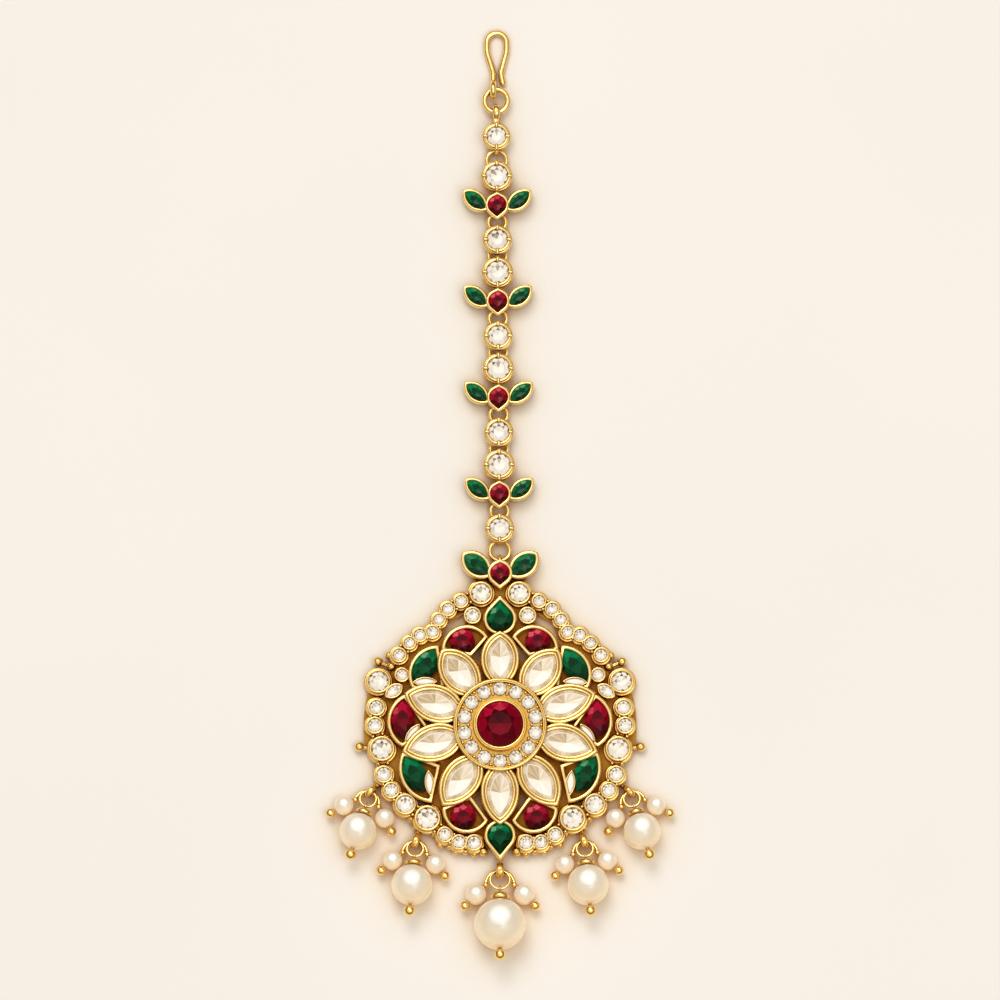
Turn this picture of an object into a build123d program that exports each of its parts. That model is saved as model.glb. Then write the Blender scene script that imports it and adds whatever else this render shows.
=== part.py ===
from build123d import *
import os
from collections import namedtuple
from math import asin, atan2, cos, degrees, radians, sin, sqrt

# A maang tikka lying face up: a kundan rosette pendant, a chain of set stones
# with a hair hook, and five pearl drops.  Millimetres.  +Z is up out of the face,
# +Y runs up the chain to the hook, and the origin is the middle of the rosette
# on the pendant's flat back.

os.makedirs("parts", exist_ok=True)

# ---- clearances ----
stone_gap = 0.06     # under a stone
side_gap = 0.10      # round a stone, and between linked wires
pearl_hole = 0.10    # between a pin and the pearl or cap it runs through

# ---- pendant heights ----
plate_top = 1.0
crest_bottom = 1.3
rim_seat, rim_top = 1.3, 2.3
cell_seat, cell_top = 1.7, 2.8
petal_seat, petal_top = 2.1, 3.3
halo_seat, halo_top, halo_lip_top = 2.8, 3.3, 3.8
crown_seat, crown_top = 3.3, 4.3

# ---- rosette ----
halo_radius, halo_lip = 6.98, 0.5
halo_count, halo_ring, halo_stone = 14, 5.46, 0.98
centre_radius, centre_wall = 3.92, 0.5
ruby_radius = 3.32
petal_half_width, petal_middle, petal_heel = 2.9, 10.0, 5.3
petal_wall = 0.68
Petal = namedtuple("Petal", "name angle tip")
petals = [
    Petal("petal_top", 0, 14.25),
    Petal("petal_upper", 37.6, 14.4),
    Petal("petal_side_upper", 71.5, 15.1),
    Petal("petal_side_lower", 105.5, 15.2),
    Petal("petal_lower", 144.8, 14.95),
    Petal("petal_bottom", 180, 15.15),
]

# ---- cells round the petals, left side: an arc from a by m to b, and a foot
# under the petals; the stone is a lens at s, turned from the Y axis ----
cell_wall = 0.45
Cell = namedtuple("Cell", "name a m b foot s turn half_width half_length")
cells = [
    Cell("ruby_upper", (-8.78, 11.33), (-5.9, 15.05), (-1.73, 13.35),
         (-4.3, 10.4), (-5.65, 12.75), 0, 1.85, 1.85),
    Cell("emerald_upper", (-9.17, 12.07), (-13.1, 10.0), (-13.17, 5.54),
         (-8.2, 5.0), (-11.2, 9.0), -33, 1.75, 2.9),
    Cell("ruby_side", (-14.18, 4.73), (-16.88, 1.0), (-14.63, -3.3),
         (-10.2, -1.0), (-14.6, 0.9), 0, 1.8, 2.8),
    Cell("emerald_lower", (-14.63, -3.98), (-14.85, -8.2), (-10.2, -11.7),
         (-8.9, -6.0), (-12.85, -7.35), 28, 1.75, 2.95),
    Cell("ruby_lower", (-8.63, -12.38), (-5.2, -16.3), (-1.73, -14.33),
         (-4.4, -10.6), (-5.5, -13.8), 0, 1.88, 1.88),
]
# a pear above and another below, on the pendant's axis, each a round drawn out to
# its tips
Tip = namedtuple("Tip", "name y radius up down")
tip_wall = 0.56
tips = [
    Tip("emerald_top", 16.1, 2.48, 3.6, 2.6),
    Tip("emerald_bottom", -16.6, 2.37, 2.6, 3.8),
]
# white half-moon stones at the feet of the cells, left side
Moon = namedtuple("Moon", "x y turn half_width half_length")
moons = [
    Moon(-11.25, 6.55, 92, 0.56, 1.7),
    Moon(-13.15, -1.35, -35, 0.58, 1.75),
    Moon(-10.55, -8.75, 5, 0.58, 1.8),
]
moon_gap = 0.16

# ---- round settings, left side ----
Cup = namedtuple("Cup", "x y outer stone")
rim_cups = [
    Cup(-2.85, 20.07, 1.80, 1.35),
    Cup(-5.85, 18.86, 1.15, 0.80),
    Cup(-7.80, 17.65, 1.15, 0.82),
    Cup(-9.15, 16.07, 1.10, 0.75),
    Cup(-10.13, 14.18, 1.15, 0.80),
    Cup(-12.00, 13.73, 1.15, 0.82),
    Cup(-13.58, 12.52, 1.10, 0.75),
    Cup(-15.15, 10.71, 1.20, 0.83),
    Cup(-18.23, 6.72, 1.85, 1.43),
    Cup(-18.53, 2.79, 1.35, 0.95),
    Cup(-18.75, 0.07, 1.35, 0.98),
    Cup(-17.70, -3.47, 1.95, 1.50),
    Cup(-17.40, -7.33, 1.35, 1.00),
    Cup(-16.28, -9.74, 1.30, 0.95),
    Cup(-14.18, -11.85, 1.65, 1.25),
    Cup(-10.88, -13.97, 2.00, 1.50),
    Cup(-8.25, -16.45, 1.25, 0.90),
    Cup(-6.15, -17.59, 1.20, 0.88),
    Cup(-3.90, -17.66, 1.30, 0.95),
]
filler_cups = [
    Cup(-4.13, 16.68, 1.35, 0.98),
    Cup(-14.70, 7.69, 1.15, 0.80),
]
side_lens = Moon(-15.9, 5.25, -55, 0.70, 1.25)
side_lens_wall = 0.35

# ---- plate, with its openings on the left side as polygons ----
plate_radius = 18.2
plate_undercut = 0.12
tongue_half_width, tongue_top = 1.3, 23.2
edge_wire_radius, edge_wire_width, edge_wire_from, edge_wire_to = 19.8, 1.3, 167, 187
openings = [
    [(-8.7, 13.6), (-7.9, 15.7), (-5.5, 17.0), (-5.2, 15.4), (-7.0, 14.7), (-8.3, 12.6)],
    [(-3.7, 12.7), (-2.5, 12.6), (-3.1, 9.6), (-4.3, 10.9)],
    [(-12.9, -11.2), (-11.5, -11.0), (-10.7, -12.2), (-12.0, -12.7)],
    [(-3.7, -12.9), (-2.6, -12.9), (-3.1, -10.0), (-4.4, -11.3)],
]

# ---- gold balls soldered to the rim, left side ----
Ball = namedtuple("Ball", "x y radius")
balls = [
    Ball(-16.65, 10.79, 0.60), Ball(-16.30, 9.10, 0.70),
    Ball(-13.30, -13.88, 0.65), Ball(-12.65, -15.24, 0.50),
    Ball(-9.90, -16.10, 0.60), Ball(-9.00, -17.81, 0.55), Ball(-7.60, -18.06, 0.55),
    Ball(-6.65, -18.91, 0.50), Ball(-5.20, -18.79, 0.60), Ball(-3.85, -19.24, 0.55),
    Ball(-2.50, -18.86, 0.75),
]
ball_z = 1.1
# a stud is a ball on a short neck that starts at the rim
Stud = namedtuple("Stud", "x y radius rim_x rim_y")
studs = [Stud(-18.3, 9.85, 0.75, -15.9, 8.8), Stud(-21.1, -3.05, 0.75, -19.35, -3.3)]
stud_neck = 0.32

# ---- chain ----
chain_lean = 0.0079       # the chain leans this much to the left above the crest
pitch = 14.6              # from one three-stone link to the next
chain_rows = 4
pair_round_y = 83.25      # topmost round of a combined link
trio_drop = 4.4           # from that round to its ruby
single_round_y = 73.6     # topmost single round of the repeat
top_round_y = 89.3
link_ring_y, low_ring_y = 76.45, 71.3
top_link_ring_y, crest_ring_y = 85.86, 26.67
cup_floor, cup_seat, cup_top = 1.55, 2.0, 2.95
leaf_bottom = 0.4
cup_wall, cup_lip, cup_bulge_top = 0.75, 0.42, 2.4
pair_stone, single_stone, top_stone = 1.65, 1.50, 1.40
prong_length, prong_width, prong_height = 0.62, 0.42, 0.25
eye_major, eye_wire, eye_z = 0.65, 0.25, 0.90
ring_major, ring_wire = 1.32, 0.30
wide_ring_major = 1.50

# ---- three-stone setting: a pointed ruby between two leaves ----
Trio = namedtuple("Trio", "radius up down leaf_x leaf_y leaf_turn leaf_half_width leaf_half")
chain_trio = Trio(1.82, 2.05, 2.35, 3.3, 0.7, 50, 1.45, 2.45)
crest_trio = Trio(1.92, 2.15, 2.5, 3.55, 1.25, 50, 1.85, 2.8)
crest_y = 23.03
trio_wall = 0.42

# ---- hook and top ring ----
hook_wire = 0.46
top_ring_major, top_ring_wire, top_ring_y, top_ring_z = 1.74, 0.41, 94.85, 1.54
hook_eye_major, hook_eye_shift = 1.04, 0.45
bail_tube_outer, bail_tube_inner, bail_tube_width = 1.3, 0.64, 1.05
bridge_thickness, bridge_lap = 0.65, 0.25

# ---- pearl drops: eye where a drop hangs from its bail, left side ----
Drop = namedtuple("Drop", "name x y heading bail_heading bail_half pearl small ring arch "
                          "cap reach neck")
drops = [
    Drop("center", 0, -21.8, 0, 0, 0.58, 3.9, 1.55, 1.47, 2.14, 1.52, 8.65, 1.6),
    Drop("inner", -12.6, -17.35, 5, 15, 0.52, 3.1, 1.43, 1.22, 1.82, 1.35, 6.95, 2.0),
    Drop("outer", -19.4, -9.85, 17, 45, 0.42, 2.8, 1.43, 1.22, 1.82, 1.27, 6.55, 2.0),
]
bail_major, bail_wire, bail_z = 0.95, 0.29, 1.34
bail_neck_radius, bail_neck_z = 0.40, 0.85
drop_ring_wire, drop_ring_z = 0.18, 1.66
arch_wire, arch_z = 0.32, 1.07
collar_radius = 0.46
small_pin, small_ball, small_angle = 0.16, 0.75, 46
main_pin, main_ball = 0.22, 0.88
pin_eye_major, pin_eye_wire = 0.42, 0.14
cap_share, cap_round = 0.2, 0.26     # thickness to pearl radius, and rounding of its edge


# ---- outlines ----
def lens_arc(half_width, tip):
    """Radius of the arc that runs from the widest point of a lens to its tip."""
    return (half_width**2 + tip**2) / (2 * half_width)


def inset_tip(half_width, tip, wall):
    """Tip of the lens that lies a wall's thickness inside another one."""
    radius = lens_arc(half_width, tip)
    return sqrt((radius - wall) ** 2 - (radius - half_width) ** 2)


class Lens(BaseSketchObject):
    """Outline with an upper and a lower tip, widest on its X axis, drawn in by wall.

    A tip as long as the half width gives a half circle."""

    def __init__(self, half_width, up, down, wall=0, rotation=0, mode=Mode.ADD):
        side = half_width - wall
        top, bottom = (inset_tip(half_width, tip, wall) for tip in (up, down))
        with BuildSketch() as outline:
            with BuildLine():
                for tip, sign in ((top, 1), (bottom, -1)):
                    radius = lens_arc(side, tip)
                    half_turn = asin(min(1, tip / radius)) / 2
                    middle_x = side - radius * (1 - cos(half_turn))
                    middle_y = sign * radius * sin(half_turn)
                    for flip in (1, -1):
                        ThreePointArc(
                            (flip * side, 0), (flip * middle_x, middle_y), (0, sign * tip)
                        )
            make_face()
        super().__init__(obj=outline.sketch, rotation=rotation, mode=mode)


class GemOutline(BaseSketchObject):
    """Straight-sided outline of a cut stone inside a lens, with steps sides a quarter."""

    def __init__(self, half_width, up, down, wall=0, steps=2, rotation=0, mode=Mode.ADD):
        side = half_width - wall
        points = []
        quarters = ((1, 1, up), (-1, 1, up), (-1, -1, down), (1, -1, down))
        for index, (flip_x, flip_y, full_tip) in enumerate(quarters):
            tip = inset_tip(half_width, full_tip, wall)
            radius = lens_arc(side, tip)
            turn = asin(min(1, tip / radius))
            for step in range(steps):
                share = step / steps if index % 2 == 0 else 1 - step / steps
                angle = turn * share
                x = side - radius * (1 - cos(angle))
                points.append((flip_x * x, flip_y * radius * sin(angle)))
        with BuildSketch() as outline:
            Polygon(*points)
        super().__init__(obj=outline.sketch, rotation=rotation, mode=mode)


class PointedRound(BaseSketchObject):
    """A circle drawn out by straight sides to an upper and a lower tip, drawn in by wall.

    With facets its round part is cut into that many straight sides."""

    def __init__(self, radius, up, down, wall=0, facets=0, mode=Mode.ADD):
        inner = radius - wall
        share = inner / radius
        high, low = asin(radius / up), -asin(radius / down)
        steps = max(facets, 2)
        angles = [high + (low - high) * step / steps for step in range(steps + 1)]
        right = [(inner * cos(angle), inner * sin(angle)) for angle in angles]
        left = [(-x, y) for x, y in right]
        top, bottom = (0, up * share), (0, -down * share)
        with BuildSketch() as outline:
            if facets:
                Polygon(bottom, *right[::-1], top, *left)
            else:
                with BuildLine():
                    Polyline(left[0], top, right[0])
                    ThreePointArc(*right)
                    Polyline(right[-1], bottom, left[-1])
                    ThreePointArc(*left[::-1])
                make_face()
        super().__init__(obj=outline.sketch, mode=mode)


def both_sides(rows):
    """Rows of the left side with their mirror images; a row has x as a field."""
    return rows + [row._replace(x=-row.x) for row in rows if row.x != 0]


def side_name(name, side):
    return f"{name}_{'left' if side < 0 else 'right'}"


def on_chain(y):
    """Place of a chain piece on the leaning line of the chain."""
    return (-chain_lean * (y - crest_y), y)


def save(piece, name):
    """Label a finished piece and write it as its own STEP file."""
    piece.part.label = name
    export_step(piece.part, f"parts/{name}.step")


def cut_stones(outline, girdle, crown, slope):
    """Stones on a sketch: an upright girdle, a facet sloped over each side, a table."""
    extrude(outline.sketch, amount=girdle)
    extrude(outline.sketch.moved(Location((0, 0, girdle))), amount=crown, taper=slope)


def upright_ring(x, y, z, major, wire):
    """A wire ring standing in the plane of Y and Z."""
    with Locations(Location((x, y, z), (0, 90, 0))):
        Torus(major, wire)


def rod(start, end, radius, mode=Mode.ADD):
    """A round rod between two points."""
    start, end = Vector(*start), Vector(*end)
    with Locations(Plane(origin=start, z_dir=end - start)):
        Cylinder(radius, (end - start).length, mode=mode,
                 align=(Align.CENTER, Align.CENTER, Align.MIN))


# ---- pendant outlines, drawn once at z = 0 ----
sides = (-1, 1)


def lens_at(row, up, down, wall=0, mode=Mode.ADD):
    """Mirrored lenses from a row of the left side with x, y, turn and half_width."""
    for side in sides:
        with Locations((-side * row.x, row.y)):
            Lens(row.half_width, up, down, wall, rotation=-side * row.turn, mode=mode)


with BuildSketch() as rim_outline:
    for cup in both_sides(rim_cups + filler_cups):
        with Locations((cup.x, cup.y)):
            Circle(cup.outer)
    lens_at(side_lens, side_lens.half_length, side_lens.half_length, -side_lens_wall)

with BuildSketch() as rim_pocket:
    for cup in both_sides(rim_cups + filler_cups):
        with Locations((cup.x, cup.y)):
            Circle(cup.stone + side_gap)
    lens_at(side_lens, side_lens.half_length, side_lens.half_length, -side_gap)

cell_outlines, cell_pockets, cell_rooms = [], [], []
for cell in cells:
    with BuildSketch() as one_cell:
        with BuildLine():
            ThreePointArc(cell.a, cell.m, cell.b)
            Polyline(cell.b, cell.foot, cell.a)
        make_face()
    with BuildSketch() as one_pocket:
        offset(one_cell.sketch, amount=-cell_wall, kind=Kind.INTERSECTION)
    with BuildSketch() as one_room:
        offset(one_cell.sketch, amount=-cell_wall - side_gap, kind=Kind.INTERSECTION)
    cell_outlines.append(one_cell.sketch)
    cell_pockets.append(one_pocket.sketch)
    cell_rooms.append(one_room.sketch)

with BuildSketch() as cell_outline:
    for face in cell_outlines:
        add([face, face.mirror(Plane.YZ)])
    for tip in tips:
        with Locations((0, tip.y)):
            PointedRound(tip.radius, tip.up, tip.down)

with BuildSketch() as cell_pocket:
    for face in cell_pockets:
        add([face, face.mirror(Plane.YZ)])
    for tip in tips:
        with Locations((0, tip.y)):
            PointedRound(tip.radius, tip.up, tip.down, tip_wall - side_gap)


def petal_lens(petal, side, wall):
    """One petal's outline, its tip pointing away from the middle of the rosette."""
    angle = side * radians(petal.angle)
    with Locations((petal_middle * sin(angle), petal_middle * cos(angle))):
        Lens(petal_half_width, petal.tip - petal_middle, petal_middle - petal_heel,
             wall, rotation=-degrees(angle))


petal_sides = [(petal, side) for petal in petals for side in sides
               if side == 1 or petal.angle % 180]
with BuildSketch() as petal_outline:
    for petal, side in petal_sides:
        petal_lens(petal, side, 0)

with BuildSketch() as petal_pocket:
    for petal, side in petal_sides:
        petal_lens(petal, side, petal_wall)


def trio_ruby(trio, wall, facets=0, mode=Mode.ADD):
    PointedRound(trio.radius, trio.up, trio.down, wall, facets, mode)


def trio_leaves(trio, wall, mode=Mode.ADD):
    """The two leaves of a three-stone setting, about its ruby."""
    for side in sides:
        with Locations((side * trio.leaf_x, trio.leaf_y)):
            Lens(trio.leaf_half_width, trio.leaf_half, trio.leaf_half, wall,
                 rotation=-side * trio.leaf_turn, mode=mode)


def trio_gems(trio):
    """Straight-sided outlines of the two leaf stones."""
    for side in sides:
        with Locations((side * trio.leaf_x, trio.leaf_y)):
            GemOutline(trio.leaf_half_width, trio.leaf_half, trio.leaf_half, trio_wall,
                       rotation=-side * trio.leaf_turn)


with BuildSketch() as crest_leaf_outline:
    with Locations((0, crest_y)):
        trio_leaves(crest_trio, 0)

with BuildSketch() as crest_leaf_pocket:
    with Locations((0, crest_y)):
        trio_leaves(crest_trio, trio_wall - side_gap)

with BuildSketch() as crest_ruby_outline:
    with Locations((0, crest_y)):
        trio_ruby(crest_trio, 0)

with BuildSketch() as crest_ruby_pocket:
    with Locations((0, crest_y)):
        trio_ruby(crest_trio, trio_wall - side_gap)

with BuildSketch() as halo_outline:
    Circle(halo_radius)

with BuildSketch() as halo_pocket:
    with PolarLocations(halo_ring, halo_count, start_angle=90):
        Circle(halo_stone + side_gap)

with BuildSketch() as halo_lip_outline:
    Circle(halo_radius)
    Circle(halo_radius - halo_lip, mode=Mode.SUBTRACT)

with BuildSketch() as centre_outline:
    Circle(centre_radius)

with BuildSketch() as centre_pocket:
    Circle(ruby_radius + side_gap)

with BuildSketch() as tongue_outline:
    with Locations((0, tongue_top)):
        Rectangle(2 * tongue_half_width, tongue_top - plate_radius + 1,
                  align=(Align.CENTER, Align.MAX))

with BuildSketch() as plate_outline:
    Circle(plate_radius)
    for cup in both_sides(rim_cups):
        with Locations((cup.x, cup.y)):
            Circle(cup.outer - plate_undercut)
    for side in sides:
        with BuildLine() as edge:
            start = edge_wire_from if side < 0 else 180 - edge_wire_to
            CenterArc((0, 0), edge_wire_radius, start, edge_wire_to - edge_wire_from)
        SlotArc(edge.edge(), edge_wire_width)
    for corners in openings:
        for side in sides:
            Polygon(*[(-side * x, y) for x, y in corners], mode=Mode.SUBTRACT)

# Each layer of the pendant runs from bottom to top, with its pockets open above
# seat; later rows lie over earlier ones.
Layer = namedtuple("Layer", "outline pocket bottom seat top")
layers = [
    Layer(plate_outline, None, 0, None, plate_top),
    Layer(tongue_outline, None, 0, None, crest_bottom),
    Layer(rim_outline, rim_pocket, 0, rim_seat, rim_top),
    Layer(cell_outline, cell_pocket, 0, cell_seat, cell_top),
    Layer(crest_leaf_outline, crest_leaf_pocket, 0, petal_seat, cell_top),
    Layer(crest_ruby_outline, crest_ruby_pocket, crest_bottom, petal_seat, cell_top),
    Layer(petal_outline, petal_pocket, 0, petal_seat, petal_top),
    Layer(halo_outline, halo_pocket, 0, halo_seat, halo_top),
    Layer(halo_lip_outline, None, halo_top, None, halo_lip_top),
    Layer(centre_outline, centre_pocket, 0, crown_seat, crown_top),
]


def drop_sides(drop):
    return (1,) if drop.x == 0 else sides


def across(heading, side):
    return Vector(cos(radians(heading)), side * sin(radians(heading)), 0)


def downward(heading, side, rise=0):
    """Direction in which a drop hangs, rising by an angle from the surface."""
    flat = cos(radians(rise))
    return Vector(side * sin(radians(heading)) * flat, -cos(radians(heading)) * flat,
                  sin(radians(rise)))


def eye_point(drop, side, z):
    return Vector(-side * drop.x, drop.y, z)


levels = sorted({z for layer in layers for z in (layer.bottom, layer.seat, layer.top)
                 if z is not None})
with BuildPart() as pendant_frame:
    for low, high in zip(levels, levels[1:]):
        with BuildSketch(Plane.XY.offset(low)) as level:
            for layer in layers:
                if layer.bottom <= low < layer.top:
                    add(layer.outline.sketch)
                    if layer.pocket and low >= layer.seat:
                        add(layer.pocket.sketch, mode=Mode.SUBTRACT)
        extrude(amount=high - low)
    for ball in both_sides(balls):
        outward = degrees(atan2(ball.y, ball.x))
        with Locations(Location((ball.x, ball.y, ball_z), (0, 0, outward))):
            Sphere(ball.radius)
    for stud in studs:
        for side in sides:
            rod((-side * stud.rim_x, stud.rim_y, ball_z), (-side * stud.x, stud.y, ball_z),
                stud_neck)
            with Locations((-side * stud.x, stud.y, ball_z)):
                Sphere(stud.radius)
    upright_ring(*on_chain(crest_ring_y - wide_ring_major), eye_z, eye_major, eye_wire)
    for drop in drops:
        for side in drop_sides(drop):
            eye = eye_point(drop, side, bail_z)
            way = downward(drop.bail_heading, side)
            lying = Plane(origin=eye, x_dir=way, z_dir=(0, 0, 1))
            with BuildSketch(lying) as band:
                with Locations((bail_major, 0)):
                    Ellipse(bail_wire, drop.bail_half)
            revolve(band.sketch, axis=Axis(eye, lying.y_dir))
            neck = eye_point(drop, side, bail_neck_z)
            rod(neck - way * (bail_major + drop.neck), neck - way * (bail_major - bail_wire / 2),
                bail_neck_radius)
save(pendant_frame, "pendant_frame")


# ---- pendant stones ----
with BuildPart() as center_ruby:
    with BuildSketch(Plane.XY.offset(crown_seat + stone_gap)) as outline:
        RegularPolygon(ruby_radius, 16, rotation=11.25)
    cut_stones(outline, girdle=0.75, crown=1.05, slope=54)
save(center_ruby, "center_ruby")

with BuildPart() as halo_crystals:
    with BuildSketch(Plane.XY.offset(halo_seat + stone_gap)) as outline:
        with PolarLocations(halo_ring, halo_count, start_angle=90):
            RegularPolygon(halo_stone, 8, rotation=22.5)
    cut_stones(outline, girdle=0.6, crown=0.45, slope=45)
save(halo_crystals, "halo_crystals")

with BuildPart() as rim_crystals:
    with BuildSketch(Plane.XY.offset(rim_seat + stone_gap)) as outline:
        for cup in both_sides(rim_cups):
            with Locations((cup.x, cup.y)):
                RegularPolygon(cup.stone, 8, rotation=22.5)
    cut_stones(outline, girdle=0.85, crown=0.4, slope=45)
save(rim_crystals, "rim_crystals")


def moon_lenses(wall, mode=Mode.ADD):
    """The half-moon stones, or the room that they take with a negative wall."""
    for moon in moons:
        for side in sides:
            with Locations((-side * moon.x, moon.y)):
                Lens(moon.half_width, moon.half_length, moon.half_length, wall,
                     rotation=-side * moon.turn, mode=mode)


with BuildPart() as filler_crystals:
    with BuildSketch(Plane.XY.offset(rim_seat + stone_gap)) as outline:
        for cup in both_sides(filler_cups):
            with Locations((cup.x, cup.y)):
                RegularPolygon(cup.stone, 8, rotation=22.5)
        for side in sides:
            with Locations((-side * side_lens.x, side_lens.y)):
                GemOutline(side_lens.half_width, side_lens.half_length,
                           side_lens.half_length, rotation=-side * side_lens.turn)
    cut_stones(outline, girdle=0.85, crown=0.4, slope=42)
save(filler_crystals, "filler_crystals")

with BuildSketch() as halo_room:
    Circle(halo_radius + side_gap)

with BuildSketch() as petal_room:
    for petal, side in petal_sides:
        petal_lens(petal, side, -side_gap)

with BuildSketch() as cell_room:
    for face in cell_rooms:
        add([face, face.mirror(Plane.YZ)])

with BuildSketch() as moon_room:
    moon_lenses(-moon_gap)

with BuildPart() as moon_crystals:
    with BuildSketch(Plane.XY.offset(cell_seat + stone_gap)) as outline:
        for moon in moons:
            for side in sides:
                with Locations((-side * moon.x, moon.y)):
                    GemOutline(moon.half_width, moon.half_length, moon.half_length,
                               rotation=-side * moon.turn)
    cut_stones(outline, girdle=0.85, crown=0.25, slope=38)
    extrude(cell_room.sketch, amount=2 * petal_top, mode=Mode.INTERSECT)
    extrude(petal_room.sketch, amount=2 * petal_top, mode=Mode.SUBTRACT)
save(moon_crystals, "moon_crystals")

for petal, side in petal_sides:
    angle = side * radians(petal.angle)
    with BuildPart() as petal_stone:
        with BuildSketch(Plane.XY.offset(petal_seat + stone_gap)) as outline:
            with Locations((petal_middle * sin(angle), petal_middle * cos(angle))):
                GemOutline(petal_half_width, petal.tip - petal_middle,
                           petal_middle - petal_heel, petal_wall + side_gap, steps=3,
                           rotation=-degrees(angle))
        cut_stones(outline, girdle=0.8, crown=0.6, slope=56)
        extrude(halo_room.sketch, amount=2 * petal_top, mode=Mode.SUBTRACT)
    on_axis = petal.angle % 180 == 0
    save(petal_stone, petal.name if on_axis else side_name(petal.name, side))

for cell in cells:
    for side in sides:
        with BuildPart() as cell_stone:
            with BuildSketch(Plane.XY.offset(cell_seat + stone_gap)) as outline:
                with Locations((-side * cell.s[0], cell.s[1])):
                    GemOutline(cell.half_width, cell.half_length, cell.half_length,
                               steps=3, rotation=-side * cell.turn)
            cut_stones(outline, girdle=0.8, crown=0.6, slope=50)
            extrude(cell_room.sketch, amount=2 * petal_top, mode=Mode.INTERSECT)
            extrude(petal_room.sketch, amount=2 * petal_top, mode=Mode.SUBTRACT)
            extrude(moon_room.sketch, amount=2 * petal_top, mode=Mode.SUBTRACT)
        save(cell_stone, side_name(cell.name, side))

for tip in tips:
    with BuildPart() as tip_stone:
        with BuildSketch(Plane.XY.offset(cell_seat + stone_gap)) as outline:
            with Locations((0, tip.y)):
                PointedRound(tip.radius, tip.up, tip.down, tip_wall, facets=4)
        cut_stones(outline, girdle=0.8, crown=0.7, slope=50)
        extrude(petal_room.sketch, amount=2 * petal_top, mode=Mode.SUBTRACT)
    save(tip_stone, tip.name)

with BuildPart() as crest_ruby:
    with BuildSketch(Plane.XY.offset(petal_seat + stone_gap)) as outline:
        with Locations((0, crest_y)):
            trio_ruby(crest_trio, trio_wall, facets=4)
    cut_stones(outline, girdle=0.5, crown=0.55, slope=50)
save(crest_ruby, "crest_ruby")

with BuildPart() as crest_emeralds:
    with BuildSketch(Plane.XY.offset(petal_seat + stone_gap)) as outline:
        with Locations((0, crest_y)):
            trio_gems(crest_trio)
            trio_ruby(crest_trio, -side_gap, mode=Mode.SUBTRACT)
    cut_stones(outline, girdle=0.5, crown=0.45, slope=48)
save(crest_emeralds, "crest_emeralds")


# ---- chain ----
pair_rounds = [pair_round_y - pitch * row for row in range(chain_rows)]
single_rounds = [single_round_y - pitch * row for row in range(chain_rows)]
trio_rubies = [y - trio_drop for y in pair_rounds]
link_rings = [link_ring_y - pitch * row for row in range(chain_rows)]
low_rings = [low_ring_y - pitch * row for row in range(chain_rows - 1)]


def round_cup(y, stone):
    """A round setting: a wide body, a narrower lip above it, and four prongs."""
    outer = stone + cup_wall
    for radius, low, high in ((outer, cup_floor, cup_bulge_top), (stone + cup_lip, cup_seat, cup_top)):
        with BuildSketch(Plane.XY.offset(low)) as step:
            with Locations(on_chain(y)):
                Circle(radius)
        extrude(step.sketch, amount=high - low)
    with BuildSketch(Plane.XY.offset(cup_seat)) as pocket:
        with Locations(on_chain(y)):
            Circle(stone + side_gap)
    extrude(pocket.sketch, amount=cup_top - cup_seat, mode=Mode.SUBTRACT)
    with BuildSketch(Plane.XY.offset(cup_bulge_top)) as prongs:
        with Locations(on_chain(y)):
            with PolarLocations(outer - prong_length / 2 - side_gap / 2, 4):
                Rectangle(prong_length, prong_width)
    extrude(prongs.sketch, amount=cup_top + prong_height - cup_bulge_top)


def chain_eye(y):
    x, y = on_chain(y)
    upright_ring(x, y, eye_z, eye_major, eye_wire)


def save_link(link, number):
    save(link, f"chain_link_{number}")


with BuildPart() as top_link:
    round_cup(top_round_y, top_stone)
    chain_eye(top_link_ring_y + wide_ring_major)
    bail_x, bail_y = on_chain(top_ring_y - top_ring_major)
    with BuildSketch(Plane.YZ.offset(bail_x)) as tube:
        with Locations((bail_y, top_ring_z)):
            Circle(bail_tube_outer)
            Circle(bail_tube_inner, mode=Mode.SUBTRACT)
    extrude(tube.sketch, amount=bail_tube_width / 2, both=True)
    bridge_end = top_round_y + top_stone + cup_wall - bridge_lap
    with Locations((bail_x, bridge_end, cup_floor)):
        Box(bail_tube_width, bail_y - bail_tube_inner - bridge_lap - bridge_end, bridge_thickness,
            align=(Align.CENTER, Align.MIN, Align.MIN))
save_link(top_link, 1)

for row in range(chain_rows):
    with BuildPart() as pair_link:
        round_cup(pair_rounds[row], pair_stone)
        with BuildSketch(Plane.XY.offset(leaf_bottom)) as leaves:
            with Locations(on_chain(trio_rubies[row])):
                trio_leaves(chain_trio, 0)
        extrude(leaves.sketch, amount=cup_seat - leaf_bottom)
        with BuildSketch(Plane.XY.offset(cup_floor)) as ruby_floor:
            with Locations(on_chain(trio_rubies[row])):
                trio_ruby(chain_trio, 0)
                with Locations((0, chain_trio.up)):
                    Rectangle(cup_wall, 2 * cup_wall)
        extrude(ruby_floor.sketch, amount=cup_seat - cup_floor)
        with BuildSketch(Plane.XY.offset(cup_seat)) as trio_walls:
            with Locations(on_chain(trio_rubies[row])):
                trio_leaves(chain_trio, 0)
                trio_leaves(chain_trio, trio_wall - side_gap, Mode.SUBTRACT)
                trio_ruby(chain_trio, 0)
                trio_ruby(chain_trio, trio_wall - side_gap, mode=Mode.SUBTRACT)
        extrude(trio_walls.sketch, amount=cup_top - cup_seat)
        upper_ring = top_link_ring_y - wide_ring_major if row == 0 else low_rings[row - 1] - ring_major
        chain_eye(upper_ring)
        chain_eye(link_rings[row] + ring_major)
    save_link(pair_link, 2 * row + 2)

    last = row == chain_rows - 1
    with BuildPart() as single_link:
        round_cup(single_rounds[row], single_stone)
        chain_eye(link_rings[row] - ring_major)
        chain_eye(crest_ring_y + wide_ring_major if last else low_rings[row] + ring_major)
    save_link(single_link, 2 * row + 3)

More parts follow.
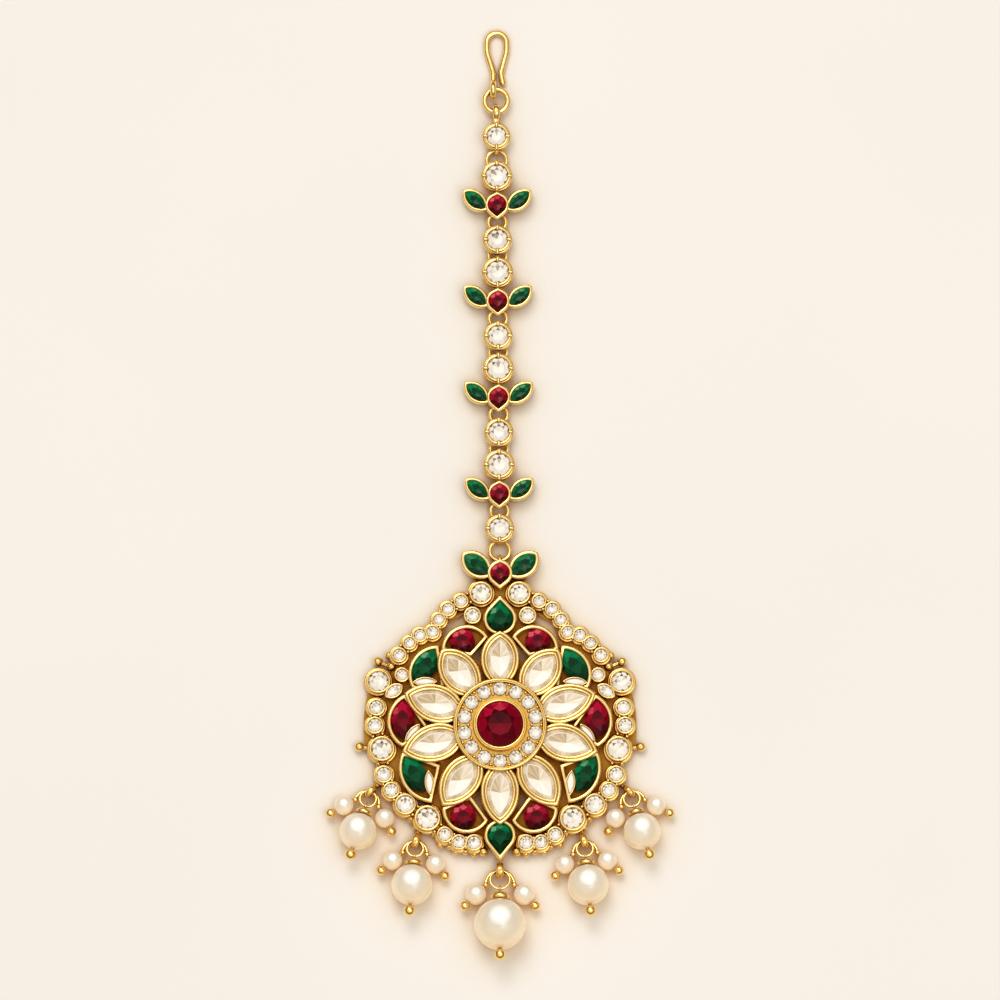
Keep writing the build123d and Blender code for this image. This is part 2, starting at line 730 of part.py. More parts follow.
with BuildPart() as chain_rings:
    for y in link_rings + low_rings:
        with Locations((*on_chain(y), eye_z)):
            Torus(ring_major, ring_wire)
    for y in (top_link_ring_y, crest_ring_y):
        with Locations((*on_chain(y), eye_z)):
            Torus(wide_ring_major, ring_wire)
save(chain_rings, "chain_rings")

stone_bottom = cup_seat + stone_gap
with BuildPart() as chain_crystals:
    with BuildSketch(Plane.XY.offset(stone_bottom)) as outline:
        for heights, radius in (([top_round_y], top_stone), (pair_rounds, pair_stone),
                                (single_rounds, single_stone)):
            for y in heights:
                with Locations(on_chain(y)):
                    RegularPolygon(radius, 8, rotation=22.5)
    cut_stones(outline, girdle=0.6, crown=0.6, slope=50)
save(chain_crystals, "chain_crystals")

with BuildPart() as chain_rubies:
    with BuildSketch(Plane.XY.offset(stone_bottom)) as outline:
        for y in trio_rubies:
            with Locations(on_chain(y)):
                trio_ruby(chain_trio, trio_wall, facets=4)
    cut_stones(outline, girdle=0.6, crown=0.5, slope=50)
save(chain_rubies, "chain_rubies")

with BuildPart() as chain_emeralds:
    with BuildSketch(Plane.XY.offset(stone_bottom)) as outline:
        for y in trio_rubies:
            with Locations(on_chain(y)):
                trio_gems(chain_trio)
                trio_ruby(chain_trio, -side_gap, mode=Mode.SUBTRACT)
    cut_stones(outline, girdle=0.6, crown=0.35, slope=48)
save(chain_emeralds, "chain_emeralds")

# ---- top ring and hook ----
ring_x, _ = on_chain(top_ring_y)
with BuildPart() as top_ring:
    with Locations((ring_x, top_ring_y, top_ring_z)):
        Torus(top_ring_major, top_ring_wire)
save(top_ring, "top_ring")

hook_eye_y = top_ring_y + sqrt(top_ring_major**2 - hook_eye_shift**2)
hook_x = ring_x - hook_eye_shift
with BuildPart() as hook:
    with BuildLine(Plane.XY.offset(top_ring_z - hook_eye_major)) as wire:
        FilletPolyline(
            (hook_x, hook_eye_y), (hook_x, hook_eye_y + 2.8), (hook_x - 0.95, hook_eye_y + 5.9),
            (hook_x - 0.95, hook_eye_y + 8.75), (hook_x + 2.0, hook_eye_y + 8.75),
            (hook_x + 2.0, hook_eye_y + 5.9), (hook_x + 1.15, hook_eye_y + 2.7),
            (hook_x + 1.45, hook_eye_y + 1.15),
            radius=[2.5, 3.5, 1.45, 1.45, 3.5, 1.5],
        )
    with BuildSketch(Plane(origin=wire.line @ 0, z_dir=wire.line % 0)) as section:
        Circle(hook_wire)
    sweep(section.sketch, path=wire.line)
    with Locations(wire.line @ 1):
        Sphere(hook_wire)
    upright_ring(hook_x, hook_eye_y, top_ring_z, hook_eye_major, hook_wire)
save(hook, "hook")


# ---- pearl drops ----
def drop_plane(drop, side, z, rise):
    """Plane at a drop's eye: X runs across the drop and Y back up along it."""
    x_dir = across(drop.heading, side)
    down = downward(drop.heading, side, rise)
    return Plane(origin=eye_point(drop, side, z), x_dir=x_dir, z_dir=x_dir.cross(-down))


def pearl_rise(drop):
    return degrees(asin((drop.pearl - drop_ring_z) / drop.reach))


def arch_rise(drop):
    low = drop.arch + (drop.small + collar_radius) * sin(radians(small_angle))
    return degrees(asin((drop.small - arch_z) / low))


def bead(plane, radius, hole):
    """A pearl about the plane's origin, drilled along its Z axis."""
    with Locations(plane):
        Sphere(radius)
        Cylinder(hole, 2 * radius + 1, mode=Mode.SUBTRACT)


hanging = [(drop, side) for drop in drops for side in drop_sides(drop)]


def drop_title(drop, side):
    return drop.name if drop.x == 0 else side_name(drop.name, side)


def pearl_plane(drop, side):
    """Plane at the middle of a main pearl, its Z axis along the pin."""
    hang = drop_plane(drop, side, drop_ring_z, pearl_rise(drop))
    return Plane(origin=hang.from_local_coords((0, -drop.reach, 0)), x_dir=hang.x_dir,
                 z_dir=-hang.y_dir)


def small_points(drop, side, hand):
    """Arch end, pearl middle and ball of one small pearl; hand is -1 or 1 across."""
    hang = drop_plane(drop, side, arch_z, arch_rise(drop))
    out, down = cos(radians(small_angle)), sin(radians(small_angle))
    middle = drop.small + collar_radius + side_gap
    reaches = (0, middle, middle + drop.small + small_ball + side_gap)
    return [hang.from_local_coords((hand * (drop.arch + reach * out),
                                    -drop.arch - reach * down, 0)) for reach in reaches]


for drop, side in hanging:
    with BuildPart() as main_pearl:
        bead(pearl_plane(drop, side), drop.pearl, main_pin + pearl_hole)
    save(main_pearl, f"pearl_{drop_title(drop, side)}")

with BuildPart() as small_pearls:
    for drop, side in hanging:
        for hand in sides:
            start, middle, end = small_points(drop, side, hand)
            bead(Plane(origin=middle, z_dir=end - start), drop.small, small_pin + pearl_hole)
save(small_pearls, "small_pearls")

with BuildPart() as drop_rings:
    for drop, side in hanging:
        hang = drop_plane(drop, side, drop_ring_z, pearl_rise(drop))
        centre = hang.from_local_coords((0, -drop.ring, 0))
        with Locations(Plane(origin=centre, x_dir=hang.x_dir, z_dir=hang.z_dir)):
            Torus(drop.ring, drop_ring_wire)
save(drop_rings, "drop_rings")

with BuildPart() as arch_wires:
    for drop, side in hanging:
        hang = drop_plane(drop, side, arch_z, arch_rise(drop))
        section_plane = Plane(origin=hang.from_local_coords((drop.arch, -drop.arch, 0)),
                              x_dir=hang.x_dir, z_dir=hang.y_dir)
        with BuildSketch(section_plane) as section:
            Circle(arch_wire)
        middle = hang.from_local_coords((0, -drop.arch, 0))
        revolve(section.sketch, axis=Axis(middle, hang.z_dir), revolution_arc=180)
        for hand in sides:
            start, _, end = small_points(drop, side, hand)
            rod(start, end, small_pin)
            with Locations(start):
                Sphere(collar_radius)
            with Locations(end):
                Sphere(small_ball)
save(arch_wires, "arch_wires")

with BuildPart() as main_pins:
    for drop, side in hanging:
        hang = drop_plane(drop, side, drop_ring_z, pearl_rise(drop))
        eye_y = -2 * drop.ring
        ball_y = -drop.reach - drop.pearl - main_ball - pearl_hole
        with Locations(Plane(origin=hang.from_local_coords((0, eye_y, 0)),
                             x_dir=hang.y_dir, z_dir=hang.x_dir)):
            Torus(pin_eye_major, pin_eye_wire)
        rod(hang.from_local_coords((0, eye_y - pin_eye_major, 0)),
            hang.from_local_coords((0, ball_y, 0)), main_pin)
        with Locations(hang.from_local_coords((0, ball_y, 0))):
            Sphere(main_ball)
save(main_pins, "main_pins")

with BuildPart() as pearl_caps:
    for drop, side in hanging:
        hang = drop_plane(drop, side, drop_ring_z, pearl_rise(drop))
        centre = hang.from_local_coords((0, -drop.reach, 0))
        inner = drop.pearl + pearl_hole
        hole = main_pin + pearl_hole
        top = inner + cap_share * drop.pearl
        foot = drop.cap - cap_round
        edge = asin(foot / inner)
        low = inner * cos(edge)
        with BuildSketch(Plane(origin=centre, x_dir=hang.x_dir, z_dir=hang.z_dir)) as profile:
            with BuildLine():
                start = (hole, sqrt(inner**2 - hole**2))
                ThreePointArc(start, (inner * sin(edge / 2), inner * cos(edge / 2)), (foot, low))
                ThreePointArc((foot, low), (drop.cap, (low + top) / 2), (foot, top))
                Polyline((foot, top), (hole, top), start)
            make_face()
        revolve(profile.sketch, axis=Axis(centre, hang.y_dir))
save(pearl_caps, "pearl_caps")
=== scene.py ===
from collections import namedtuple
from math import asin, atan2, cos, hypot, pi, radians, sin, sqrt

import bpy
import bmesh
import numpy as np
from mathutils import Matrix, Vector


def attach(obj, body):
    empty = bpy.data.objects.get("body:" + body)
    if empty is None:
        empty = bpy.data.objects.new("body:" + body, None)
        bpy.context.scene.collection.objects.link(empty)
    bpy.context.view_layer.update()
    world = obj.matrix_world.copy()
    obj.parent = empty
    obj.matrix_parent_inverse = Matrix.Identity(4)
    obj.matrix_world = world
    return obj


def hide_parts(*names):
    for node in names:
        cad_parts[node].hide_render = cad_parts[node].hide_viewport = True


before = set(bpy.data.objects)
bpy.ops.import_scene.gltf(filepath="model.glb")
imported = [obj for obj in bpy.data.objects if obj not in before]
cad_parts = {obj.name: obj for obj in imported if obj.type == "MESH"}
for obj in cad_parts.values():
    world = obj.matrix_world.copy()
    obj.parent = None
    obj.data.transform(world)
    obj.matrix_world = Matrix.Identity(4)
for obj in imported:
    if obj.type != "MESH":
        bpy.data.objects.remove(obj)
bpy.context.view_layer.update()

# A maang tikka lying face up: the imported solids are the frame, and this file adds
# the rounded settings, the grains, the cut stones and every finish.
# Shapes are worked out in millimetres and made in metres.

MM = 0.001
SIDES = (-1, 1)
SKIN = 0.02          # how far a rounded setting stands outside the plain wall it covers

# ---- heights shared with the solids ----
PLATE_TOP = 1.0
RIM_SEAT, RIM_TOP = 1.3, 2.3
CELL_SEAT, CELL_TOP = 1.7, 2.8
PETAL_SEAT, PETAL_TOP = 2.1, 3.3
HALO_TOP = 3.3
HALO_SEAT, RUBY_SEAT, CREST_SEAT = 2.8, 3.3, 2.1
CUP_FLOOR, CUP_SEAT = 1.55, 2.0
RIM_FOOT, LEAF_BOTTOM = 0.4, 0.4

# ---- cut stones: a crown rises from the girdle to the table ----
RIM_GIRDLE = 2.24
CELL_GIRDLE, CELL_CROWN, TIP_CROWN = 2.56, 3.16, 3.26
HALO_GIRDLE, HALO_CROWN = 3.46, 3.88
RUBY_GIRDLE, RUBY_CROWN = 4.10, 5.1
CUP_GIRDLE, CUP_CROWN = 2.68, 3.22
STONE_GAP = 0.06      # under a stone
STONE_OVER = 0.05     # how far a stone of the cells and the rim reaches under its lip
HALF_FACET = 1 / 16   # a turn that puts a flat side of a round stone at the top

# ---- rosette ----
HALO_RADIUS, HALO_RING, HALO_STONE, HALO_COUNT = 6.98, 5.46, 0.98, 14
CENTRE_RADIUS, RUBY_RADIUS = 3.92, 3.32
PETAL_HALF_WIDTH, PETAL_MIDDLE, PETAL_HEEL, PETAL_WALL = 2.9, 10.0, 5.3, 0.68
PETAL_LIP = 0.92     # the lip folds over the edge of its stone
Petal = namedtuple("Petal", "name angle tip")
PETALS = [
    Petal("petal_top", 0, 14.25),
    Petal("petal_upper", 37.6, 14.4),
    Petal("petal_side_upper", 71.5, 15.1),
    Petal("petal_side_lower", 105.5, 15.2),
    Petal("petal_lower", 144.8, 14.95),
    Petal("petal_bottom", 180, 15.15),
]

# ---- cells: an arc from a by m to b and a foot; the stone is a lens at s ----
CELL_LIP = 0.56
Cell = namedtuple("Cell", "name a m b foot s turn half_width half_length")
CELLS = [
    Cell("ruby_upper", (-8.78, 11.33), (-5.9, 15.05), (-1.73, 13.35),
         (-4.3, 10.4), (-5.65, 12.75), 0, 1.85, 1.85),
    Cell("emerald_upper", (-9.17, 12.07), (-13.1, 10.0), (-13.17, 5.54),
         (-8.2, 5.0), (-11.2, 9.0), -33, 1.75, 2.9),
    Cell("ruby_side", (-14.18, 4.73), (-16.88, 1.0), (-14.63, -3.3),
         (-10.2, -1.0), (-14.6, 0.9), 0, 1.8, 2.8),
    Cell("emerald_lower", (-14.63, -3.98), (-14.85, -8.2), (-10.2, -11.7),
         (-8.9, -6.0), (-12.85, -7.35), 28, 1.75, 2.95),
    Cell("ruby_lower", (-8.63, -12.38), (-5.2, -16.3), (-1.73, -14.33),
         (-4.4, -10.6), (-5.5, -13.8), 0, 1.88, 1.88),
]
Tip = namedtuple("Tip", "name y radius up down")
TIP_WALL = 0.56
TIPS = [Tip("emerald_top", 16.1, 2.48, 3.6, 2.6),
        Tip("emerald_bottom", -16.6, 2.37, 2.6, 3.8)]
Moon = namedtuple("Moon", "x y turn half_width half_length")
MOONS = [Moon(-11.25, 6.55, 92, 0.56, 1.7), Moon(-13.15, -1.35, -35, 0.58, 1.75),
         Moon(-10.55, -8.75, 5, 0.58, 1.8)]
MOON_LIP = 0.17
SIDE_LENS = Moon(-15.9, 5.25, -55, 0.70, 1.25)

# ---- round settings of the rim ----
Cup = namedtuple("Cup", "x y outer stone")
RIM_CUPS = [
    Cup(-2.85, 20.07, 1.80, 1.35), Cup(-5.85, 18.86, 1.15, 0.80),
    Cup(-7.80, 17.65, 1.15, 0.82), Cup(-9.15, 16.07, 1.10, 0.75),
    Cup(-10.13, 14.18, 1.15, 0.80), Cup(-12.00, 13.73, 1.15, 0.82),
    Cup(-13.58, 12.52, 1.10, 0.75), Cup(-15.15, 10.71, 1.20, 0.83),
    Cup(-18.23, 6.72, 1.85, 1.43), Cup(-18.53, 2.79, 1.35, 0.95),
    Cup(-18.75, 0.07, 1.35, 0.98), Cup(-17.70, -3.47, 1.95, 1.50),
    Cup(-17.40, -7.33, 1.35, 1.00), Cup(-16.28, -9.74, 1.30, 0.95),
    Cup(-14.18, -11.85, 1.65, 1.25), Cup(-10.88, -13.97, 2.00, 1.50),
    Cup(-8.25, -16.45, 1.25, 0.90), Cup(-6.15, -17.59, 1.20, 0.88),
    Cup(-3.90, -17.66, 1.30, 0.95),
]
FILLER_CUPS = [Cup(-4.13, 16.68, 1.35, 0.98), Cup(-14.70, 7.69, 1.15, 0.80)]

# ---- chain ----
CHAIN_LEAN, PITCH, ROWS = 0.0079, 14.6, 4
PAIR_Y, TRIO_DROP, SINGLE_Y, TOP_Y = 83.25, 4.4, 73.6, 89.3
LINK_RING_Y, LOW_RING_Y, TOP_LINK_RING_Y, CREST_RING_Y = 76.45, 71.3, 85.86, 26.67
CUP_WALL = 0.75
CLAW_OVER, CLAW_TOP, CLAW_HALF_WIDTH = 0.12, 2.90, 0.26
PAIR_STONE, SINGLE_STONE, TOP_STONE = 1.65, 1.50, 1.40
EYE_MAJOR, EYE_WIRE, EYE_Z = 0.65, 0.31, 0.95
RING_MAJOR, WIDE_RING_MAJOR = 1.32, 1.50
Trio = namedtuple("Trio", "radius up down leaf_x leaf_y leaf_turn leaf_half_width leaf_half")
CHAIN_TRIO = Trio(1.82, 2.05, 2.35, 3.3, 0.7, 50, 1.45, 2.45)
CREST_TRIO = Trio(1.92, 2.15, 2.5, 3.55, 1.25, 50, 1.85, 2.8)
CREST_Y, TRIO_WALL = 23.03, 0.42
TOP_RING_MAJOR, TOP_RING_Y, TOP_RING_Z = 1.74, 94.85, 1.54
BAIL_TUBE_OUTER, BAIL_TUBE_INNER, BAIL_TUBE_WIDTH = 1.3, 0.64, 1.05
BRIDGE_LAP = 0.25


# ======== mesh building ========
def on_chain(y):
    return -CHAIN_LEAN * (y - CREST_Y), y


class Shape:
    """Points in millimetres and faces gathered for one mesh, with a painted light value for each
    face.
    """

    def __init__(self):
        self.points, self.faces, self.painted_lights = [], [], []

    def add(self, points, faces, painted_lights=None):
        start = len(self.points)
        self.points.extend(tuple(p) for p in points)
        self.faces.extend(tuple(start + i for i in face) for face in faces)
        self.painted_lights.extend(painted_lights if painted_lights is not None else [0.5] * len(faces))

    def lower_inside(self, radius, height):
        """Bring what lies inside a circle round the middle down to a height."""
        self.points = [(x, y, min(z, height) if hypot(x, y) < radius else z)
                       for x, y, z in self.points]

    def make(self, name, material, slot, replaces=(), smooth_angle=0):
        """One piece that rides on the body; smooth_angle 0 leaves every face flat."""
        mesh = bpy.data.meshes.new(name)
        mesh.from_pydata([(x * MM, y * MM, z * MM) for x, y, z in self.points], [], self.faces)
        tone = mesh.attributes.new("tone", "FLOAT", "FACE")
        tone.data.foreach_set("value", np.array(self.painted_lights, np.float32))
        work = bmesh.new()
        work.from_mesh(mesh)
        bmesh.ops.recalc_face_normals(work, faces=work.faces)
        work.to_mesh(mesh)
        work.free()
        if smooth_angle:
            mesh.polygons.foreach_set("use_smooth", [True] * len(mesh.polygons))
            mesh.set_sharp_from_angle(angle=radians(smooth_angle))
        mesh.materials.append(material)
        piece = bpy.data.objects.new(name, mesh)
        bpy.context.scene.collection.objects.link(piece)
        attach(piece, "root")
        if replaces:
            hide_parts(*replaces)
        return piece


def band_faces(ring_count, count, close_profile):
    """Quads between neighbouring rings of count points each."""
    faces = []
    for ring in range(ring_count if close_profile else ring_count - 1):
        low, high = ring * count, (ring + 1) % ring_count * count
        for i in range(count):
            j = (i + 1) % count
            faces.append((low + i, low + j, high + j, high + i))
    return faces


def stack(shape, points, ring_count):
    """Rings of points joined side to side and closed at both ends."""
    count = len(points) // ring_count
    last = (ring_count - 1) * count
    shape.add(points, band_faces(ring_count, count, False)
              + [tuple(range(count)), tuple(range(last, last + count))])


def profile_points(outline, profile):
    return [(x, y, height) for inset, height in profile for x, y in outline(inset)]


def loop(shape, outline, profile):
    """A closed band along an outline; the profile is a closed loop of (inset, height)."""
    points = profile_points(outline, profile)
    shape.add(points, band_faces(len(profile), len(points) // len(profile), True))


def dish(shape, outline, profile):
    """A closed dish: the profile runs from the underside, round the lip, to the seat."""
    stack(shape, profile_points(outline, profile), len(profile))


def lens_arc(half_width, tip):
    """Radius of the arc that runs from the widest point of a lens to its tip."""
    return (half_width**2 + tip**2) / (2 * half_width)


def inset_tip(half_width, tip, inset):
    radius = lens_arc(half_width, tip)
    return sqrt(max(0, (radius - inset) ** 2 - (radius - half_width) ** 2))


def lens_points(half_width, up, down, inset=0, steps=10):
    """Outline with an upper and a lower tip, widest on its X axis, drawn in by inset."""
    points = []
    side = half_width - inset
    for flip_x, flip_y, full_tip in ((1, 1, up), (-1, 1, up), (-1, -1, down), (1, -1, down)):
        tip = inset_tip(half_width, full_tip, inset)
        radius = lens_arc(side, tip)
        turn = asin(min(1, tip / radius))
        rising = flip_x == flip_y
        for step in range(steps):
            angle = turn * (step / steps if rising else 1 - step / steps)
            points.append((flip_x * (side - radius * (1 - cos(angle))),
                           flip_y * radius * sin(angle)))
    return points


def pointed_points(radius, up, down, inset=0, steps=10):
    """A circle drawn out by straight sides to two tips, drawn in by inset."""
    share = (radius - inset) / radius
    points = []
    for flip_x, flip_y, tip in ((1, 1, up), (-1, 1, up), (-1, -1, down), (1, -1, down)):
        turn = asin(radius / tip)
        arc, line = radius * turn, sqrt(tip**2 - radius**2)
        rising = flip_x == flip_y
        for step in range(steps):
            along = (arc + line) * (step / steps if rising else 1 - step / steps)
            angle = min(along / radius, turn)
            rest = max(0, along - arc) / line
            x, y = radius * cos(angle), radius * sin(angle)
            points.append((flip_x * share * x * (1 - rest),
                           flip_y * share * (y + (tip - y) * rest)))
    return points


def circle_points(radius, steps=40):
    return [(radius * cos(2 * pi * i / steps), radius * sin(2 * pi * i / steps))
            for i in range(steps)]


def placed(points, x, y, turn=0):
    """Points turned by an angle in degrees and then moved."""
    c, s = cos(radians(turn)), sin(radians(turn))
    return [(x + c * px - s * py, y + s * px + c * py) for px, py in points]


def lens_outline(half_width, up, down, x, y, turn=0, steps=10):
    return lambda inset: placed(lens_points(half_width, up, down, inset, steps), x, y, turn)


def moon_outline(moon, side, grow=0, steps=10):
    """The lens of a half moon or of the small oval by the rim, on the left or the right."""
    return lens_outline(moon.half_width + grow, moon.half_length + grow, moon.half_length + grow,
                        -side * moon.x, moon.y, -side * moon.turn, steps)


def leaf_outline(trio, x, y, side, steps=12):
    """One of the two leaves beside the pointed ruby at x, y."""
    return lens_outline(trio.leaf_half_width, trio.leaf_half, trio.leaf_half,
                        x + side * trio.leaf_x, y + trio.leaf_y, -side * trio.leaf_turn, steps)


def pointed_outline(radius, up, down, x, y, steps=12):
    return lambda inset: placed(pointed_points(radius, up, down, inset, steps), x, y)


def circle_outline(radius, x, y, steps=40):
    return lambda inset: placed(circle_points(radius - inset, steps), x, y)


def circle_through(a, m, b):
    """Centre and radius of the circle through three points."""
    (ax, ay), (mx, my), (bx, by) = a, m, b
    d = 2 * (ax * (my - by) + mx * (by - ay) + bx * (ay - my))
    a2, m2, b2 = ax * ax + ay * ay, mx * mx + my * my, bx * bx + by * by
    cx = (a2 * (my - by) + m2 * (by - ay) + b2 * (ay - my)) / d
    cy = (a2 * (bx - mx) + m2 * (ax - bx) + b2 * (mx - ax)) / d
    return (cx, cy), hypot(ax - cx, ay - cy)


def cell_outline(cell, side, arc_steps=22, leg_steps=5):
    """Closed outline of a cell, drawn in by inset on its arc and on both its legs."""
    centre, radius = circle_through(cell.a, cell.m, cell.b)

    def shifted_leg(start, end, inset):
        """A leg moved towards the inside of the cell: a point on it and its direction."""
        start, end = np.array(start), np.array(end)
        along = (end - start) / np.linalg.norm(end - start)
        normal = np.array((-along[1], along[0]))
        if normal @ (np.array(cell.m) - start) < 0:
            normal = -normal
        return start + inset * normal, along

    def meet_arc(point, along, inset, shadow_nearness):
        away = point - np.array(centre)
        half_b = away @ along
        root = sqrt(max(0, half_b**2 - away @ away + (radius - inset) ** 2))
        hits = [point + t * along for t in (-half_b - root, -half_b + root)]
        return min(hits, key=lambda hit: np.linalg.norm(hit - np.array(shadow_nearness)))

    def outline(inset):
        leg_b = shifted_leg(cell.b, cell.foot, inset)
        leg_a = shifted_leg(cell.foot, cell.a, inset)
        new_b = meet_arc(*leg_b, inset, cell.b)
        new_a = meet_arc(*leg_a, inset, cell.a)
        share = np.linalg.solve(np.array([leg_b[1], -leg_a[1]]).T, leg_a[0] - leg_b[0])
        foot = leg_b[0] + share[0] * leg_b[1]
        from_a = atan2(new_a[1] - centre[1], new_a[0] - centre[0])
        to_b = atan2(new_b[1] - centre[1], new_b[0] - centre[0])
        by_m = atan2(cell.m[1] - centre[1], cell.m[0] - centre[0])
        sweep = (to_b - from_a) % (2 * pi)
        if (by_m - from_a) % (2 * pi) > sweep:
            sweep -= 2 * pi
        points = []
        for step in range(arc_steps):
            angle = from_a + sweep * step / arc_steps
            points.append((centre[0] + (radius - inset) * cos(angle),
                           centre[1] + (radius - inset) * sin(angle)))
        for start, end in ((new_b, foot), (foot, new_a)):
            for step in range(leg_steps):
                x, y = start + (end - start) * step / leg_steps
                points.append((x, y))
        return [(-side * x, y) for x, y in points]

    return outline


# ======== profiles of settings ========
def rounded_lip(wall, base, top, lift, start=0.0, steps=8):
    """Rounded wall edge as (inset, height), from the outer foot over to the inner foot."""
    middle, reach = start + wall / 2, wall / 2 + SKIN
    points = [(middle - reach, base)]
    for step in range(steps + 1):
        turn = pi * step / steps
        points.append((middle - reach * cos(turn), top + SKIN + lift * sin(turn)))
    points.append((middle + reach, base))
    return points


def double_lip(wall, base, top, outer_lift, inner_lift, outer_share=0.58, steps=7):
    """Two rounded ridges side by side with a groove between them."""
    split = wall * outer_share
    points = [(-SKIN, base)]
    for start, end, lift in ((-SKIN, split, outer_lift), (split, wall + SKIN, inner_lift)):
        for step in range(steps + 1):
            turn = pi * step / steps
            points.append(((start + end) / 2 - (end - start) / 2 * cos(turn),
                           top + SKIN + lift * sin(turn)))
        del points[-1]
    points += [(wall + SKIN, top + SKIN), (wall + SKIN, base)]
    return points


# ======== cut stones ========
def facet_lean(points):
    """How far a facet leans to the right and up the chain, each from -1 to 1."""
    a, b, c = (np.array(p) for p in points[:3])
    normal = np.cross(b - a, c - a)
    length = np.linalg.norm(normal)
    if length < 1e-12:
        return 0.0, 0.0
    normal = normal / length * (1 if normal[2] >= 0 else -1)
    return float(normal[0]), float(normal[1])


def brilliant(shape, outline, base, girdle, top, table=0.54, kites=0.80, sides=8,
              dip=0.05, tone=None, sparkle=0.0, seed=0):
    """A cut stone: girdle, kite and star facets, and a table whose facets are painted to look like
    the facets below.

    outline gives a point for a turn from 0 to 1; shares are of its size. The facet function gives
    each facet its painted light and shade from its kind, its place in the ring from 0 to 1 and how
    it leans, and sparkle scatters it at random as painted glints."""
    rng = np.random.default_rng(seed)
    middle = np.mean([outline(i / 32) for i in range(32)], axis=0)

    def at(turn, share, height):
        x, y = outline(turn % 1)
        return (middle[0] + (x - middle[0]) * share, middle[1] + (y - middle[1]) * share, height)

    step = 1 / sides
    rise = top - girdle
    low = [at(i * step / 2, 1, base) for i in range(2 * sides)]
    edge = [at(i * step / 2, 1, girdle) for i in range(2 * sides)]
    kite = [at((i + 0.5) * step, kites, girdle + 0.55 * rise) for i in range(sides)]
    table_ring = [at(i * step, table, top) for i in range(sides)]
    points = low + edge + kite + table_ring + [(middle[0], middle[1], top - dip),
                                               (middle[0], middle[1], base)]
    e, k, t = 2 * sides, 4 * sides, 5 * sides
    peak, under = 6 * sides, 6 * sides + 1
    faces, kinds = [], []
    for i in range(2 * sides):
        j = (i + 1) % (2 * sides)
        faces += [(i, j, e + j, e + i), (j, i, under)]
        kinds += [("wall", i / 2)] * 2
    for i in range(sides):
        j = (i + 1) % sides
        faces += [(e + 2 * i, e + 2 * i + 1, k + i),
                  (e + 2 * i + 1, e + (2 * i + 2) % (2 * sides), k + i),
                  (t + i, k + (i - 1) % sides, e + 2 * i, k + i), (t + i, k + i, t + j),
                  (t + i, t + j, peak)]
        kinds += [("belt", i + 0.25), ("notch", i + 0.75), ("kite", i), ("star", i + 0.5),
                  ("table", i + 0.5)]
    # Painted light and reflections: each facet's brightness comes from its kind and how it leans,
    # and sparkle scatters it as painted glints.
    painted_lights = [tone(kind, place / sides, *facet_lean([points[n] for n in face]))
             + sparkle * float(rng.uniform(-1, 1)) for face, (kind, place) in zip(faces, kinds)]
    shape.add(points, faces, painted_lights)


def round_outline(x, y, radius, turn=0.0):
    return lambda t: (x + radius * cos(2 * pi * (t + turn)), y + radius * sin(2 * pi * (t + turn)))


def turning(ring):
    """A closed ring of points as a function of a turn from 0 to 1, for a cut stone."""
    def outline(t):
        place = t * len(ring)
        i = int(place) % len(ring)
        share = place - int(place)
        a, b = ring[i], ring[(i + 1) % len(ring)]
        return (a[0] + (b[0] - a[0]) * share, a[1] + (b[1] - a[1]) * share)

    return outline


# ======== materials ========
def new_material(name):
    material = bpy.data.materials.new(name)
    material.use_nodes = True
    nodes = material.node_tree.nodes
    return material, nodes, material.node_tree.links, nodes["Principled BSDF"]


def ramp(nodes, stops):
    node = nodes.new("ShaderNodeValToRGB")
    elements = node.color_ramp.elements
    elements[0].position, elements[0].color = stops[0][0], (*stops[0][1], 1)
    elements[1].position, elements[1].color = stops[-1][0], (*stops[-1][1], 1)
    for place, colour in stops[1:-1]:
        elements.new(place).color = (*colour, 1)
    return node


def noise(nodes, links, scale, detail=2.0):
    """Noise in object space; scale is how many times it repeats in a metre."""
    place = nodes.new("ShaderNodeTexCoord")
    node = nodes.new("ShaderNodeTexNoise")
    node.inputs["Scale"].default_value = scale
    node.inputs["Detail"].default_value = detail
    links.new(place.outputs["Object"], node.inputs["Vector"])
    return node


def facing(nodes, links, direction):
    """How far the surface faces a direction, from -1 to 1."""
    geometry = nodes.new("ShaderNodeNewGeometry")
    dot = nodes.new("ShaderNodeVectorMath")
    dot.operation = "DOT_PRODUCT"
    dot.inputs[1].default_value = direction
    links.new(geometry.outputs["Normal"], dot.inputs[0])
    return dot.outputs["Value"]


def multiply(nodes, links, first, second, share=None):
    mix = nodes.new("ShaderNodeMix")
    mix.data_type, mix.blend_type = "RGBA", "MULTIPLY"
    if share:
        links.new(share, mix.inputs["Factor"])
    else:
        mix.inputs["Factor"].default_value = 1
    links.new(first, mix.inputs["A"])
    links.new(second, mix.inputs["B"])
    return mix.outputs["Result"]


